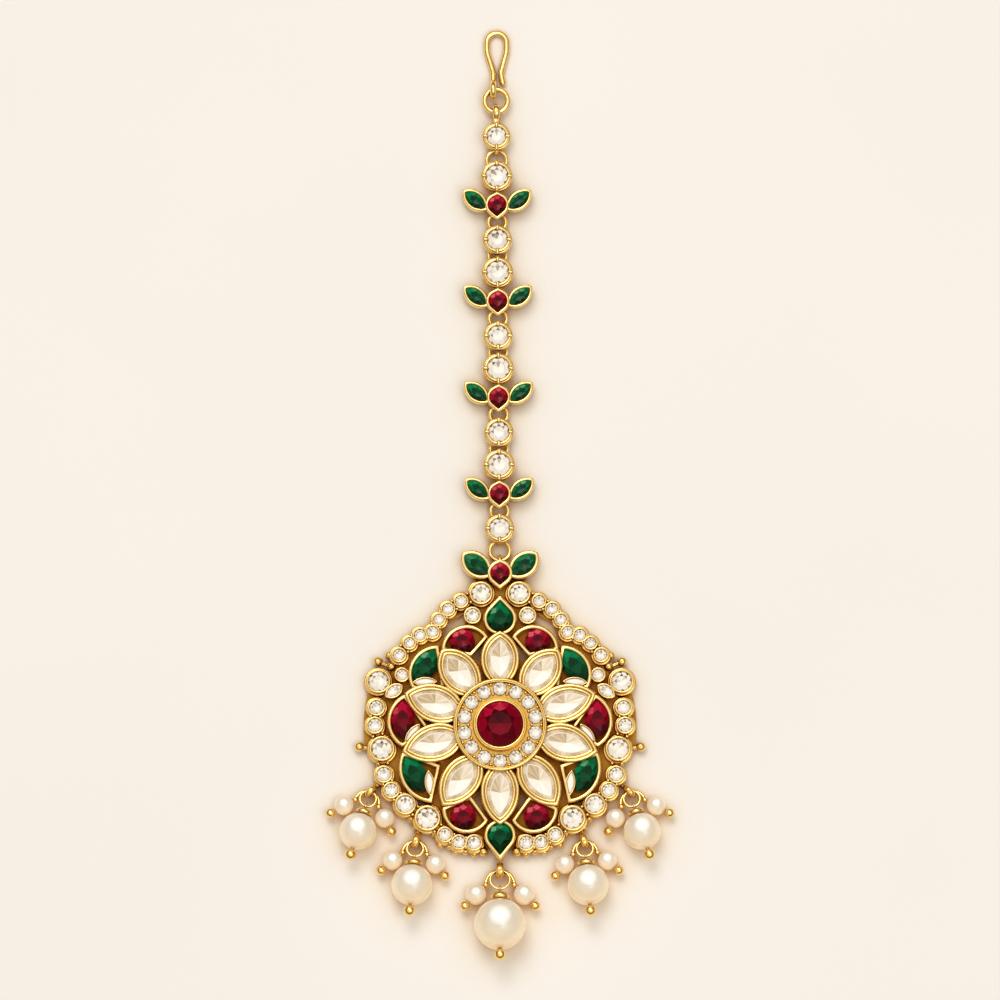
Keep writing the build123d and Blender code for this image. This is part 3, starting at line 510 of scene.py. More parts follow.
def gold_material(name, bright, deep, painted_shade_colour, roughness, bump=0.12, reach=0.0009,
                  painted_ground_shades=((1, 1, 1), (1, 1, 1))):
    """Polished gold plate: bright where open, with red-brown painted shade in its recesses, softly
    uneven.

    Level ground gets painted shade: it is tinted by the first of the ground colours where it lies
    deep and by the second where it is as high as the ring of small stones."""
    material, nodes, links, shader = new_material(name)
    patches = noise(nodes, links, 900)
    tint = ramp(nodes, [(0.35, bright), (0.7, deep)])
    links.new(patches.outputs["Fac"], tint.inputs["Fac"])
    # Painted shade: ambient occlusion darkens the gold towards the shade colour where other parts
    # hem it in.
    painted_recess_shade = nodes.new("ShaderNodeAmbientOcclusion")
    painted_recess_shade.samples = 6
    painted_recess_shade.inputs["Distance"].default_value = reach
    shade = ramp(nodes, [(0.22, painted_shade_colour), (0.84, (1, 1, 1))])
    links.new(painted_recess_shade.outputs["AO"], shade.inputs["Fac"])
    shaded = multiply(nodes, links, tint.outputs["Color"], shade.outputs["Color"])
    # Painted shade on level ground: flat faces that face up are tinted darker the deeper they lie.
    place = nodes.new("ShaderNodeTexCoord")
    split = nodes.new("ShaderNodeSeparateXYZ")
    links.new(place.outputs["Object"], split.inputs["Vector"])
    height = nodes.new("ShaderNodeMapRange")
    height.inputs["From Min"].default_value = PLATE_TOP * MM
    height.inputs["From Max"].default_value = HALO_TOP * MM
    links.new(split.outputs["Z"], height.inputs["Value"])
    painted_ground_shade = ramp(nodes, [(0.4, painted_ground_shades[0]), (0.95, painted_ground_shades[1])])
    links.new(height.outputs["Result"], painted_ground_shade.inputs["Fac"])
    level = ramp(nodes, [(0.97, (0, 0, 0)), (0.995, (1, 1, 1))])
    links.new(facing(nodes, links, (0, 0, 1)), level.inputs["Fac"])
    links.new(multiply(nodes, links, shaded, painted_ground_shade.outputs["Color"], level.outputs["Color"]),
              shader.inputs["Base Color"])
    grain = noise(nodes, links, 2600, 3)
    lift = nodes.new("ShaderNodeBump")
    lift.inputs["Strength"].default_value = bump
    lift.inputs["Distance"].default_value = 0.00012
    links.new(grain.outputs["Fac"], lift.inputs["Height"])
    links.new(lift.outputs["Normal"], shader.inputs["Normal"])
    wear = nodes.new("ShaderNodeMapRange")
    wear.inputs["To Min"].default_value = roughness * 0.8
    wear.inputs["To Max"].default_value = roughness * 1.25
    links.new(patches.outputs["Fac"], wear.inputs["Value"])
    links.new(wear.outputs["Result"], shader.inputs["Roughness"])
    shader.inputs["Metallic"].default_value = 1
    return material


def stone_material(name, stops, roughness=0.10, coat=0.06, gloss=0.35, cloud=0.06,
                   cloud_scale=1500):
    """Cut stone: the painted light of each facet picks its colour, with faint clouds inside it."""
    material, nodes, links, shader = new_material(name)
    tone = nodes.new("ShaderNodeAttribute")
    tone.attribute_name = "tone"
    clouds = noise(nodes, links, cloud_scale, 3)
    spread = nodes.new("ShaderNodeMapRange")
    spread.inputs["To Min"].default_value = -cloud
    spread.inputs["To Max"].default_value = cloud
    links.new(clouds.outputs["Fac"], spread.inputs["Value"])
    total = nodes.new("ShaderNodeMath")
    total.operation = "ADD"
    links.new(tone.outputs["Fac"], total.inputs[0])
    links.new(spread.outputs["Result"], total.inputs[1])
    colour = ramp(nodes, stops)
    links.new(total.outputs["Value"], colour.inputs["Fac"])
    links.new(colour.outputs["Color"], shader.inputs["Base Color"])
    shader.inputs["Roughness"].default_value = roughness
    shader.inputs["Specular IOR Level"].default_value = gloss
    shader.inputs["Coat Weight"].default_value = coat
    shader.inputs["Coat Roughness"].default_value = 0.02
    return material


PEARL_PAINTED_HIGHLIGHT = (0.0, 0.30, 0.95)     # the side of a pearl with the painted highlight


def pearl_material():
    """Nacre: ivory with faint warm clouds, soft under a clear coat, with painted light by facing: a
    white painted highlight on the bright side, a darker ring round it and warm painted reflections
    at the edge.
    """
    material, nodes, links, shader = new_material("pearl_nacre_painted_light")
    clouds = noise(nodes, links, 420, 3)
    cloudy = ramp(nodes, [(0.35, (0.97, 0.95, 0.92)), (0.65, (1, 1, 1))])
    links.new(clouds.outputs["Fac"], cloudy.inputs["Fac"])
    painted_shading = ramp(nodes, [(0.0, (0.86, 0.64, 0.34)), (0.35, (0.86, 0.73, 0.52)),
                        (0.7, (0.72, 0.64, 0.51)), (0.88, (0.64, 0.60, 0.52)),
                        (0.97, (0.92, 0.92, 0.92))])
    links.new(facing(nodes, links, PEARL_PAINTED_HIGHLIGHT), painted_shading.inputs["Fac"])
    nacre_and_painted_light = multiply(nodes, links, cloudy.outputs["Color"], painted_shading.outputs["Color"])
    links.new(nacre_and_painted_light, shader.inputs["Base Color"])
    # Painted glow: the nacre colour with its painted light is also emitted, so the pearl glows
    # though it is no lamp.
    links.new(nacre_and_painted_light, shader.inputs["Emission Color"])
    shader.inputs["Emission Strength"].default_value = 0.26
    fine = noise(nodes, links, 2200, 2)
    lift = nodes.new("ShaderNodeBump")
    lift.inputs["Strength"].default_value = 0.04
    lift.inputs["Distance"].default_value = 0.0001
    links.new(fine.outputs["Fac"], lift.inputs["Height"])
    links.new(lift.outputs["Normal"], shader.inputs["Normal"])
    shader.inputs["Roughness"].default_value = 0.28
    shader.inputs["Subsurface Weight"].default_value = 0.15
    shader.inputs["Subsurface Radius"].default_value = (0.001, 0.0007, 0.0005)
    shader.inputs["Subsurface Scale"].default_value = 0.6
    shader.inputs["Coat Weight"].default_value = 1.0
    shader.inputs["Coat Roughness"].default_value = 0.10
    shader.inputs["Sheen Weight"].default_value = 0.15
    return material


# The third colour of each gold is the colour of its painted shade in recesses.
GOLD = gold_material("gold_plate", (1.0, 0.76, 0.31), (0.96, 0.64, 0.19), (0.36, 0.14, 0.01), 0.2)
GOLD_LIP = gold_material("gold_lip", (0.97, 0.74, 0.32), (0.93, 0.63, 0.21), (0.32, 0.12, 0.01), 0.2,
                         reach=0.0011)
# The bed's level ground is painted darker the deeper it lies, as painted shade.
GOLD_BED = gold_material("gold_bed", (0.98, 0.72, 0.27), (0.92, 0.61, 0.18), (0.24, 0.09, 0.01),
                         0.24, bump=0.1, reach=0.0014,
                         painted_ground_shades=((0.40, 0.27, 0.12), (0.84, 0.74, 0.46)))
RUBY = stone_material("ruby_stone", [(0.0, (0.022, 0.0, 0.002)), (0.25, (0.10, 0.0, 0.006)),
                                     (0.5, (0.27, 0.0, 0.015)), (0.75, (0.46, 0.004, 0.040)),
                                     (1.0, (0.85, 0.20, 0.26))], gloss=0.10)
EMERALD = stone_material("emerald_stone", [(0.0, (0.0, 0.014, 0.004)), (0.25, (0.0, 0.040, 0.013)),
                                           (0.55, (0.0, 0.11, 0.035)), (0.8, (0.0, 0.24, 0.09)),
                                           (1.0, (0.22, 0.52, 0.34))], gloss=0.10)
CRYSTAL = stone_material("crystal_stone", [(0.0, (0.12, 0.09, 0.05)), (0.3, (0.38, 0.33, 0.25)),
                                           (0.6, (0.84, 0.82, 0.76)), (0.8, (0.99, 0.98, 0.96)),
                                           (1.0, (1.0, 1.0, 1.0))], cloud=0.08)
POLKI = stone_material("polki_stone", [(0.0, (0.26, 0.18, 0.09)), (0.3, (0.56, 0.43, 0.26)),
                                       (0.55, (0.78, 0.66, 0.47)), (0.8, (0.95, 0.90, 0.80)),
                                       (1.0, (1.0, 0.99, 0.97))], cloud=0.07, cloud_scale=900)
PEARL = pearl_material()


def finish_of(node):
    """The finish of a CAD node from its name."""
    for word, finish in (("ruby", RUBY), ("rubies", RUBY), ("emerald", EMERALD),
                         ("crystal", CRYSTAL), ("petal", POLKI), ("pearl_caps", GOLD),
                         ("pearl", PEARL)):
        if word in node:
            return finish
    return GOLD_BED if node == "pendant_frame" else GOLD


for node_name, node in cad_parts.items():
    node.data.materials.clear()
    node.data.materials.append(finish_of(node_name))


# ======== pendant ========
def both(rows):
    return rows + [row._replace(x=-row.x) for row in rows if row.x]


petal_sides = [(petal, side) for petal in PETALS for side in SIDES
               if side == 1 or petal.angle % 180]


def side_name(name, side):
    return f"{name}_{'left' if side < 0 else 'right'}"


def petal_place(petal, side):
    angle = side * radians(petal.angle)
    return PETAL_MIDDLE * sin(angle), PETAL_MIDDLE * cos(angle), -side * petal.angle


def pendant_settings():
    lips = Shape()
    for petal, side in petal_sides:
        x, y, turn = petal_place(petal, side)
        loop(lips, lens_outline(PETAL_HALF_WIDTH, petal.tip - PETAL_MIDDLE,
                                PETAL_MIDDLE - PETAL_HEEL, x, y, turn, steps=14),
             double_lip(PETAL_LIP, PLATE_TOP, PETAL_TOP, 0.30, 0.10, outer_share=0.64))
    lips.lower_inside(HALO_RADIUS - 0.1, HALO_TOP - 0.1)
    lips.make("petal_settings", GOLD_LIP, "gold", smooth_angle=50)

    cells = Shape()
    for cell in CELLS:
        for side in SIDES:
            loop(cells, cell_outline(cell, side),
                 rounded_lip(CELL_LIP, PLATE_TOP, CELL_TOP, 0.24))
    for tip in TIPS:
        loop(cells, pointed_outline(tip.radius, tip.up, tip.down, 0, tip.y),
             rounded_lip(TIP_WALL, PLATE_TOP, CELL_TOP, 0.26))
    for moon in MOONS:
        for side in SIDES:
            loop(cells, moon_outline(moon, side, MOON_LIP),
                 rounded_lip(MOON_LIP, CELL_SEAT, 2.92, 0.12))
    cells.make("cell_settings", GOLD_LIP, "gold", smooth_angle=50)

    rings = Shape()
    loop(rings, circle_outline(HALO_RADIUS, 0, 0, 120),
         [(-SKIN, PLATE_TOP), (-SKIN, 3.62), (0.03, 3.80), (0.12, 3.90), (0.22, 3.91),
          (0.30, 3.86), (0.40, 3.74), (0.52, 3.56), (0.62, 3.36), (0.66, 3.2), (0.66, PLATE_TOP)])
    loop(rings, circle_outline(CENTRE_RADIUS, 0, 0, 96),
         [(-0.16, 3.2), (-0.14, 3.42), (-0.02, 3.78), (0.08, 4.16), (0.16, 4.33), (0.26, 4.42),
          (0.38, 4.43), (0.48, 4.36), (0.55, 4.2), (0.56, 3.9), (0.56, 3.2)])
    rings.make("rosette_rings", GOLD_LIP, "gold", smooth_angle=60)

    cups = Shape()
    for cup in both(RIM_CUPS + FILLER_CUPS):
        wall = cup.outer - cup.stone - 0.04
        loop(cups, circle_outline(cup.outer, cup.x, cup.y, 36),
             rounded_lip(wall, RIM_FOOT, RIM_TOP, 0.2 if cup.outer < 1.6 else 0.28))
    for side in SIDES:
        loop(cups, moon_outline(SIDE_LENS, side, 0.35), rounded_lip(0.3, RIM_FOOT, RIM_TOP, 0.2))
    cups.make("rim_settings", GOLD_LIP, "gold", smooth_angle=60)


def grain(shape, x, y, z, radius, squash=0.85, steps=10):
    """A grain of gold pushed up from the setting: a low dome on a short foot."""
    profile = [(radius * 0.9, z - radius), (radius, z - 0.1 * radius),
               (radius * 0.93, z + 0.35 * radius * squash),
               (radius * 0.70, z + 0.72 * radius * squash),
               (radius * 0.38, z + 0.93 * radius * squash), (radius * 0.08, z + radius * squash)]
    stack(shape, [(x + px, y + py, height) for size, height in profile
                  for px, py in circle_points(size, steps)], len(profile))


HALO_GRAINS = ((6.20, 0.27), (4.74, 0.24))     # radius of each ring and of its grains
RIM_GRAIN, GAP_GRAIN = 0.26, 0.42              # on top between two settings and below them
SKIRT_REACH, SKIRT_WIDTH = 0.30, 0.5           # the low flange round each rim setting


def pendant_grains():
    grains = Shape()
    for gap in range(HALO_COUNT):
        angle = 2 * pi * (gap + 0.5) / HALO_COUNT + pi / 2
        for ring, radius in HALO_GRAINS:
            grain(grains, ring * cos(angle), ring * sin(angle), HALO_TOP + 0.1, radius)
    for side in SIDES:
        for first, second in zip(RIM_CUPS, RIM_CUPS[1:]):
            gap_x, gap_y = second.x - first.x, second.y - first.y
            apart = hypot(gap_x, gap_y)
            if apart > first.outer + second.outer + 0.6:
                continue
            share = (first.outer + (apart - first.outer - second.outer) / 2) / apart
            x, y = first.x + gap_x * share, first.y + gap_y * share
            for hand in SIDES:
                reach = hand * 0.72
                grain(grains, -side * (x - gap_y / apart * reach),
                      y + gap_x / apart * reach, RIM_TOP, RIM_GRAIN)
            grain(grains, -side * (x + 0.62 * x / hypot(x, y)), y + 0.62 * y / hypot(x, y),
                  1.5, GAP_GRAIN)
    grains.make("gold_grains", GOLD_LIP, "gold", smooth_angle=60)

    skirt = Shape()
    for cup in both(RIM_CUPS):
        loop(skirt, circle_outline(cup.outer + SKIRT_REACH, cup.x, cup.y, 36),
             rounded_lip(SKIRT_WIDTH, 0.15, 1.42, 0.2))
    skirt.make("rim_skirt", GOLD, "gold", smooth_angle=60)


# ======== stones of the pendant ========
LIGHT_SIDE = np.array((0.15, 1.0))     # painted shade: polki borders are darker towards this side


def petal_stone(petal, side):
    """A flat-backed polki: a sloping border, a ridge painted bright and facets to a low point, each
    with painted light and shade.
    """
    x, y, turn = petal_place(petal, side)
    up, down = petal.tip - PETAL_MIDDLE, PETAL_MIDDLE - PETAL_HEEL
    steps = 6
    base = PETAL_SEAT + STONE_GAP
    girdle, ridge, deep = base + 0.75, 3.42, 3.18

    def ring(inset, height, up=up, down=down):
        points = lens_points(PETAL_HALF_WIDTH, up, down, inset, steps)
        return [(px, py, height) for px, py in placed(points, x, y, turn)]

    def heading(face, centre):
        """Unit direction from a centre to the middle of a face, seen from above."""
        out = np.mean([points[n] for n in face], axis=0)[:2] - centre
        return out / max(1e-9, np.linalg.norm(out))

    table = (up * 1.03, down * 0.93)     # the ridge lies a little towards the outer tip
    rings = [ring(PETAL_WALL + 0.04, base), ring(PETAL_WALL + 0.04, girdle),
             ring(PETAL_WALL + 0.10, girdle + 0.12), ring(1.44, ridge - 0.03, *table),
             ring(1.51, ridge, *table), ring(1.57, ridge - 0.02, *table)]
    count = len(rings[0])
    shape = Shape()
    points = [p for one in rings for p in one]
    keel = placed([(0, 0.25)], x, y, turn)[0]
    points.append((*keel, deep))
    faces = band_faces(len(rings), count, False)
    painted_lights = []
    # Painted light: the ridge is painted bright and the sloping border darker towards LIGHT_SIDE,
    # with streaks.
    for face in faces:
        level = face[0] // count
        lean = float(heading(face, (x, y)) @ LIGHT_SIDE)
        if level in (3, 4):
            painted_lights.append(0.86)
        elif level == 2:
            painted_lights.append(0.52 - 0.08 * lean + 0.16 * sin(5 * face[0]))
        else:
            painted_lights.append(0.34 + 0.12 * lean)
    last = (len(rings) - 1) * count
    # Painted light: the facets to the low point are painted grey above the keel and white below it.
    for i in range(count):
        j = (i + 1) % count
        face = (last + i, last + j, len(points) - 1)
        right, upper = heading(face, keel)
        if upper > 0.08:
            painted_lights.append(0.52 - 0.15 * (1 if right < 0 else -1) + 0.10 * sin(4 * i))
        else:
            painted_lights.append(0.96 - 0.07 * (i % 2))
        faces.append(face)
    faces.append(tuple(range(count)))
    painted_lights.append(0.3)
    shape.add(points, faces, painted_lights)
    on_axis = petal.angle % 180 == 0
    node = petal.name if on_axis else side_name(petal.name, side)
    shape.make(f"cut_{node}", POLKI, "polki", replaces=[node])


def up_share(place):
    """1 for a facet at the upper end of a stone and -1 for one at its lower end."""
    return sin(2 * pi * place)


def crystal_painted_light(kind, place, right, up):
    """Painted reflections: white facets, with grey ones towards the top and dark notches at the
    edge.
    """
    if kind == "table":
        return 0.86 - 0.5 * max(0.0, up_share(place) - 0.25)
    if kind == "star":
        return 0.58 - 0.34 * up_share(place)
    if kind == "kite":
        return 0.98 - 0.30 * abs(right)
    return {"belt": 0.80, "notch": 0.34, "wall": 0.3}[kind] - 0.25 * up


def coloured_painted_light(kind, place, right, up):
    """Painted light and shade: a dark table in a ring of facets painted lighter above, to the left
    and at the foot.
    """
    if kind == "table":
        return 0.30 - 0.10 * up_share(place)
    if kind == "star":
        return 0.42 + 0.26 * up_share(place)
    if kind == "kite":
        return 0.46 + 0.80 * up - 0.25 * right
    return {"belt": 0.40, "notch": 0.26, "wall": 0.1}[kind] + 0.55 * up


def rim_stones():
    for name, node, cups in (("cut_rim_crystals", "rim_crystals", RIM_CUPS),
                             ("cut_filler_crystals", "filler_crystals", FILLER_CUPS)):
        shape = Shape()
        for number, cup in enumerate(both(cups)):
            brilliant(shape, round_outline(cup.x, cup.y, cup.stone + 0.02, HALF_FACET),
                      RIM_SEAT + STONE_GAP, RIM_GIRDLE, 2.5 + 0.08 * cup.stone, tone=crystal_painted_light,
                      sparkle=0.30, seed=number)
        if cups is FILLER_CUPS:
            for side in SIDES:
                brilliant(shape, turning(moon_outline(SIDE_LENS, side, steps=12)(-STONE_OVER)),
                          RIM_SEAT + STONE_GAP, RIM_GIRDLE, 2.55, tone=crystal_painted_light, sparkle=0.1)
        shape.make(name, CRYSTAL, "crystal", replaces=[node])


def moon_stones():
    """Bright domed half moons at the feet of the cells."""
    shape = Shape()
    for moon in MOONS:
        for side in SIDES:
            dish(shape, moon_outline(moon, side), [(0, CELL_SEAT + STONE_GAP), (0, 2.68),
                                                   (0.08, 2.82), (0.22, 2.93), (0.40, 2.99)])
    shape.painted_lights = [0.95] * len(shape.faces)
    shape.make("domed_moons", CRYSTAL, "crystal", replaces=["moon_crystals"], smooth_angle=60)


def halo_stones():
    shape = Shape()
    for number in range(HALO_COUNT):
        angle = 2 * pi * number / HALO_COUNT + pi / 2
        brilliant(shape, round_outline(HALO_RING * cos(angle), HALO_RING * sin(angle),
                                       HALO_STONE + 0.03, HALF_FACET),
                  HALO_SEAT + STONE_GAP, HALO_GIRDLE, HALO_CROWN, tone=crystal_painted_light, sparkle=0.28,
                  seed=100 + number)
    shape.make("cut_halo_crystals", CRYSTAL, "crystal", replaces=["halo_crystals"])


def centre_stone():
    shape = Shape()

    def tone(kind, place, right, up):
        if kind == "table":
            return 0.28 - 0.18 * up_share(place)
        if kind == "star":
            return 0.16
        # Painted highlight: the facets at the top are painted pink, and those at the foot and on the
        # right darker.
        light = 0.46 + 3.0 * max(0.0, up - 0.42) - 0.35 * max(0.0, -up) - 0.10 * right
        return light if kind == "kite" else 0.9 * light

    brilliant(shape, round_outline(0, 0, RUBY_RADIUS + 0.08), RUBY_SEAT + STONE_GAP,
              RUBY_GIRDLE, RUBY_CROWN, table=0.54, kites=0.72, tone=tone, sparkle=0.03)
    shape.make("cut_center_ruby", RUBY, "ruby", replaces=["center_ruby"])


def cell_stones():
    for cell in CELLS:
        for side in SIDES:
            shape = Shape()
            ruby = cell.name.startswith("ruby")
            outline = lens_outline(cell.half_width, cell.half_length, cell.half_length,
                                   -side * cell.s[0], cell.s[1], -side * cell.turn, steps=12)
            brilliant(shape, turning(outline(-STONE_OVER)),
                      CELL_SEAT + STONE_GAP, CELL_GIRDLE, CELL_CROWN, table=0.5, kites=0.78,
                      tone=coloured_painted_light, sparkle=0.05)
            node = side_name(cell.name, side)
            shape.make(f"cut_{node}", RUBY if ruby else EMERALD, "ruby" if ruby else "emerald",
                       replaces=[node])
    for tip in TIPS:
        shape = Shape()
        outline = pointed_outline(tip.radius, tip.up, tip.down, 0, tip.y)
        brilliant(shape, turning(outline(TIP_WALL - 0.03)),
                  CELL_SEAT + STONE_GAP, CELL_GIRDLE, TIP_CROWN, table=0.5, kites=0.78,
                  tone=coloured_painted_light, sparkle=0.05)
        shape.make(f"cut_{tip.name}", EMERALD, "emerald", replaces=[tip.name])


def trio_stones():
    """The pointed rubies and leaf emeralds of the chain and the crest."""
    chain = [on_chain(PAIR_Y - TRIO_DROP - PITCH * k) for k in range(ROWS)]
    for trio, places, seat, names in (
            (CHAIN_TRIO, chain, CUP_SEAT, ("chain_rubies", "chain_emeralds")),
            (CREST_TRIO, [(0, CREST_Y)], CREST_SEAT, ("crest_ruby", "crest_emeralds"))):
        base = seat + STONE_GAP
        rubies, emeralds = Shape(), Shape()
        for number, (x, y) in enumerate(places):
            outline = pointed_outline(trio.radius, trio.up, trio.down, x, y)
            brilliant(rubies, turning(outline(TRIO_WALL - 0.02)),
                      base, base + 0.62, base + 1.1, table=0.5, tone=coloured_painted_light,
                      sparkle=0.06, seed=number)
            for side in SIDES:
                brilliant(emeralds, turning(leaf_outline(trio, x, y, side)(TRIO_WALL - 0.02)),
                          base, base + 0.62, base + 0.95, table=0.5, tone=coloured_painted_light,
                          sparkle=0.06, seed=10 * number + side + 1)
        rubies.make(f"cut_{names[0]}", RUBY, "ruby", replaces=[names[0]])
        emeralds.make(f"cut_{names[1]}", EMERALD, "emerald", replaces=[names[1]])


# ======== chain ========
def cup_body(shape, y, stone):
    """A barrel-sided round setting with a bright rim."""
    x, y = on_chain(y)
    dish(shape, circle_outline(stone + CUP_WALL, x, y, 48),
         [(0.62, 1.50), (0.32, 1.52), (0.12, 1.64), (0.01, 1.88), (0.0, 2.06), (0.03, 2.26),
          (0.11, 2.38), (0.21, 2.43), (0.27, 2.44), (0.28, 2.62), (0.30, 2.84), (0.36, 2.97),
          (0.45, 3.02), (0.56, 3.02), (0.65, 2.97), (0.71, 2.86), (0.73, 2.7), (0.73, CUP_SEAT)])
    for quarter in range(4):
        claw(shape, x, y, quarter * pi / 2, stone - CLAW_OVER, stone + CUP_WALL + SKIN)


def claw(shape, x, y, angle, inner, outer, steps=8):
    """A claw from the rim over the stone's edge: a rounded bar with a domed end."""
    along, over = (cos(angle), sin(angle)), (-sin(angle), cos(angle))
    stations = [(inner, 0.35, 0.20), (inner + 0.06, 0.8, 0.30), (inner + 0.2, 1.0, 0.36),
                (outer - 0.2, 1.0, 0.30), (outer - 0.05, 0.8, 0.20), (outer, 0.35, 0.05)]
    points = []
    for reach, width, lift in stations:
        for i in range(steps):
            turn = 2 * pi * i / steps
            side = CLAW_HALF_WIDTH * width * cos(turn)
            height = CLAW_TOP - 0.1 + (lift + 0.1) * (0.5 + 0.5 * sin(turn))
            points.append((x + along[0] * reach + over[0] * side,
                           y + along[1] * reach + over[1] * side, height))
    stack(shape, points, len(stations))


def torus(shape, centre, x_dir, y_dir, major, wire, steps=36, round_steps=12):
    """A wire ring in the plane of x_dir and y_dir."""
    centre, x_dir, y_dir = (np.array(v, float) for v in (centre, x_dir, y_dir))
    normal = np.cross(x_dir, y_dir)
    points = []
    for i in range(steps):
        turn = 2 * pi * i / steps
        out = cos(turn) * x_dir + sin(turn) * y_dir
        for j in range(round_steps):
            small = 2 * pi * j / round_steps
            points.append(centre + out * (major + wire * cos(small)) + normal * wire * sin(small))
    shape.add(points, band_faces(steps, round_steps, True))


def chain_eye(shape, y):
    x, y = on_chain(y)
    torus(shape, (x, y, EYE_Z), (0, 1, 0), (0, 0, 1), EYE_MAJOR, EYE_WIRE)


LEAF_PROFILE = [(0.30, LEAF_BOTTOM), (0.12, 0.46), (0.02, 0.75), (-0.01, 1.5), (0.0, 2.3),
                (0.02, 2.72), (0.08, 2.92), (0.18, 3.01), (0.33, 3.02), (0.44, 2.96),
                (0.52, 2.84), (0.54, 2.7), (0.54, CUP_SEAT)]
RUBY_PROFILE = [(0.30, 1.50), (0.12, 1.54), (0.02, 1.75), (-0.01, 2.1), (0.0, 2.6),
                (0.02, 2.85), (0.08, 3.03), (0.18, 3.12), (0.33, 3.13), (0.44, 3.07),
                (0.52, 2.94), (0.54, 2.8), (0.54, CUP_SEAT)]


def trio_body(shape, x, y, trio):
    """The walls of a pointed ruby between two leaves."""
    for side in SIDES:
        dish(shape, leaf_outline(trio, x, y, side), LEAF_PROFILE)
    dish(shape, pointed_outline(trio.radius, trio.up, trio.down, x, y), RUBY_PROFILE)


def bar_outline(x, y, half, start, end):
    """A straight bar along the chain, from start to end above x, y."""
    return lambda inset: placed([(half - inset, start), (half - inset, end),
                                 (inset - half, end), (inset - half, start)], x, y)


def chain_links():
    def finish(link, number):
        link.make(f"dressed_link_{number}", GOLD_LIP, "gold",
                  replaces=[f"chain_link_{number}"], smooth_angle=50)

    link = Shape()
    cup_body(link, TOP_Y, TOP_STONE)
    chain_eye(link, TOP_LINK_RING_Y + WIDE_RING_MAJOR)
    x, bail_y = on_chain(TOP_RING_Y - TOP_RING_MAJOR)
    half = BAIL_TUBE_WIDTH / 2
    middle = (BAIL_TUBE_OUTER + BAIL_TUBE_INNER) / 2
    thick = (BAIL_TUBE_OUTER - BAIL_TUBE_INNER) / 2
    steps, strap_steps = 40, 14
    strap = [(half * cos(2 * pi * i / strap_steps), thick * sin(2 * pi * i / strap_steps))
             for i in range(strap_steps)]
    points = []
    for i in range(steps):
        turn = 2 * pi * i / steps
        for across, out in strap:
            points.append((x + across, bail_y + (middle + out) * cos(turn),
                           TOP_RING_Z + (middle + out) * sin(turn)))
    link.add(points, band_faces(steps, strap_steps, True))
    dish(link, bar_outline(x, 0, half, TOP_Y + TOP_STONE + CUP_WALL - BRIDGE_LAP,
                           bail_y - BAIL_TUBE_INNER - BRIDGE_LAP),
         [(0.1, CUP_FLOOR), (0, CUP_FLOOR + 0.1), (0, 2.1), (0.12, 2.2)])
    finish(link, 1)
    for row in range(ROWS):
        pair_y, single_y = PAIR_Y - PITCH * row, SINGLE_Y - PITCH * row
        link_ring, low_ring = LINK_RING_Y - PITCH * row, LOW_RING_Y - PITCH * row
        last = row == ROWS - 1
        link = Shape()
        cup_body(link, pair_y, PAIR_STONE)
        x, y = on_chain(pair_y - TRIO_DROP)
        trio_body(link, x, y, CHAIN_TRIO)
        dish(link, bar_outline(x, y, 0.37, 1.2, 2.7),
             [(0.05, CUP_FLOOR), (0, CUP_FLOOR + 0.1), (0, 2.25), (0.15, 2.4)])
        chain_eye(link, TOP_LINK_RING_Y - WIDE_RING_MAJOR if row == 0
                  else low_ring + PITCH - RING_MAJOR)
        chain_eye(link, link_ring + RING_MAJOR)
        finish(link, 2 * row + 2)
        link = Shape()
        cup_body(link, single_y, SINGLE_STONE)
        chain_eye(link, link_ring - RING_MAJOR)
        chain_eye(link, CREST_RING_Y + WIDE_RING_MAJOR if last else low_ring + RING_MAJOR)
        finish(link, 2 * row + 3)


def crest_settings():
    shape = Shape()
    for side in SIDES:
        loop(shape, leaf_outline(CREST_TRIO, 0, CREST_Y, side, 14),
             rounded_lip(TRIO_WALL + 0.13, 0.3, CELL_TOP, 0.22))
    loop(shape, pointed_outline(CREST_TRIO.radius, CREST_TRIO.up, CREST_TRIO.down, 0, CREST_Y),
         rounded_lip(TRIO_WALL + 0.13, 1.35, CELL_TOP + 0.1, 0.24))
    shape.make("crest_settings", GOLD_LIP, "gold", smooth_angle=60)


def chain_stones():
    shape = Shape()
    places = [(TOP_Y, TOP_STONE)]
    for row in range(ROWS):
        places += [(PAIR_Y - PITCH * row, PAIR_STONE), (SINGLE_Y - PITCH * row, SINGLE_STONE)]
    for number, (along, radius) in enumerate(places):
        x, y = on_chain(along)
        brilliant(shape, round_outline(x, y, radius + 0.03, HALF_FACET), CUP_SEAT + STONE_GAP,
                  CUP_GIRDLE, CUP_CROWN, tone=crystal_painted_light, sparkle=0.22, seed=200 + number)
    shape.make("cut_chain_crystals", CRYSTAL, "crystal", replaces=["chain_crystals"])


pendant_settings()
pendant_grains()
for petal, side in petal_sides:
    petal_stone(petal, side)
rim_stones()
moon_stones()
halo_stones()
centre_stone()
cell_stones()
trio_stones()
chain_links()
crest_settings()
chain_stones()


# ======== floor, light and camera ========
CAMERA_TILT = 8          # degrees from straight down, towards the pearl drops
CAMERA_DISTANCE = 4.0
FRAME_WIDTH = 0.150
AIM_X, AIM_Y, AIM_Z = 0.0, 34.18, 2.0
FLOOR_HALF, FLOOR_DROP = 3.0, 0.00002     # metres, like the places of the lights
WORLD_STRENGTH = 0.94
Light = namedtuple("Light", "name place size power colour")
LIGHTS = [Light("key", (-0.18, 0.66, 1.22), 0.75, 6.0, (1.0, 0.97, 0.92)),
          Light("fill", (0.25, -0.20, 0.80), 0.5, 1.1, (1.0, 0.95, 0.88))]
LIGHT_TARGET = Vector((0, 0.03, 0))


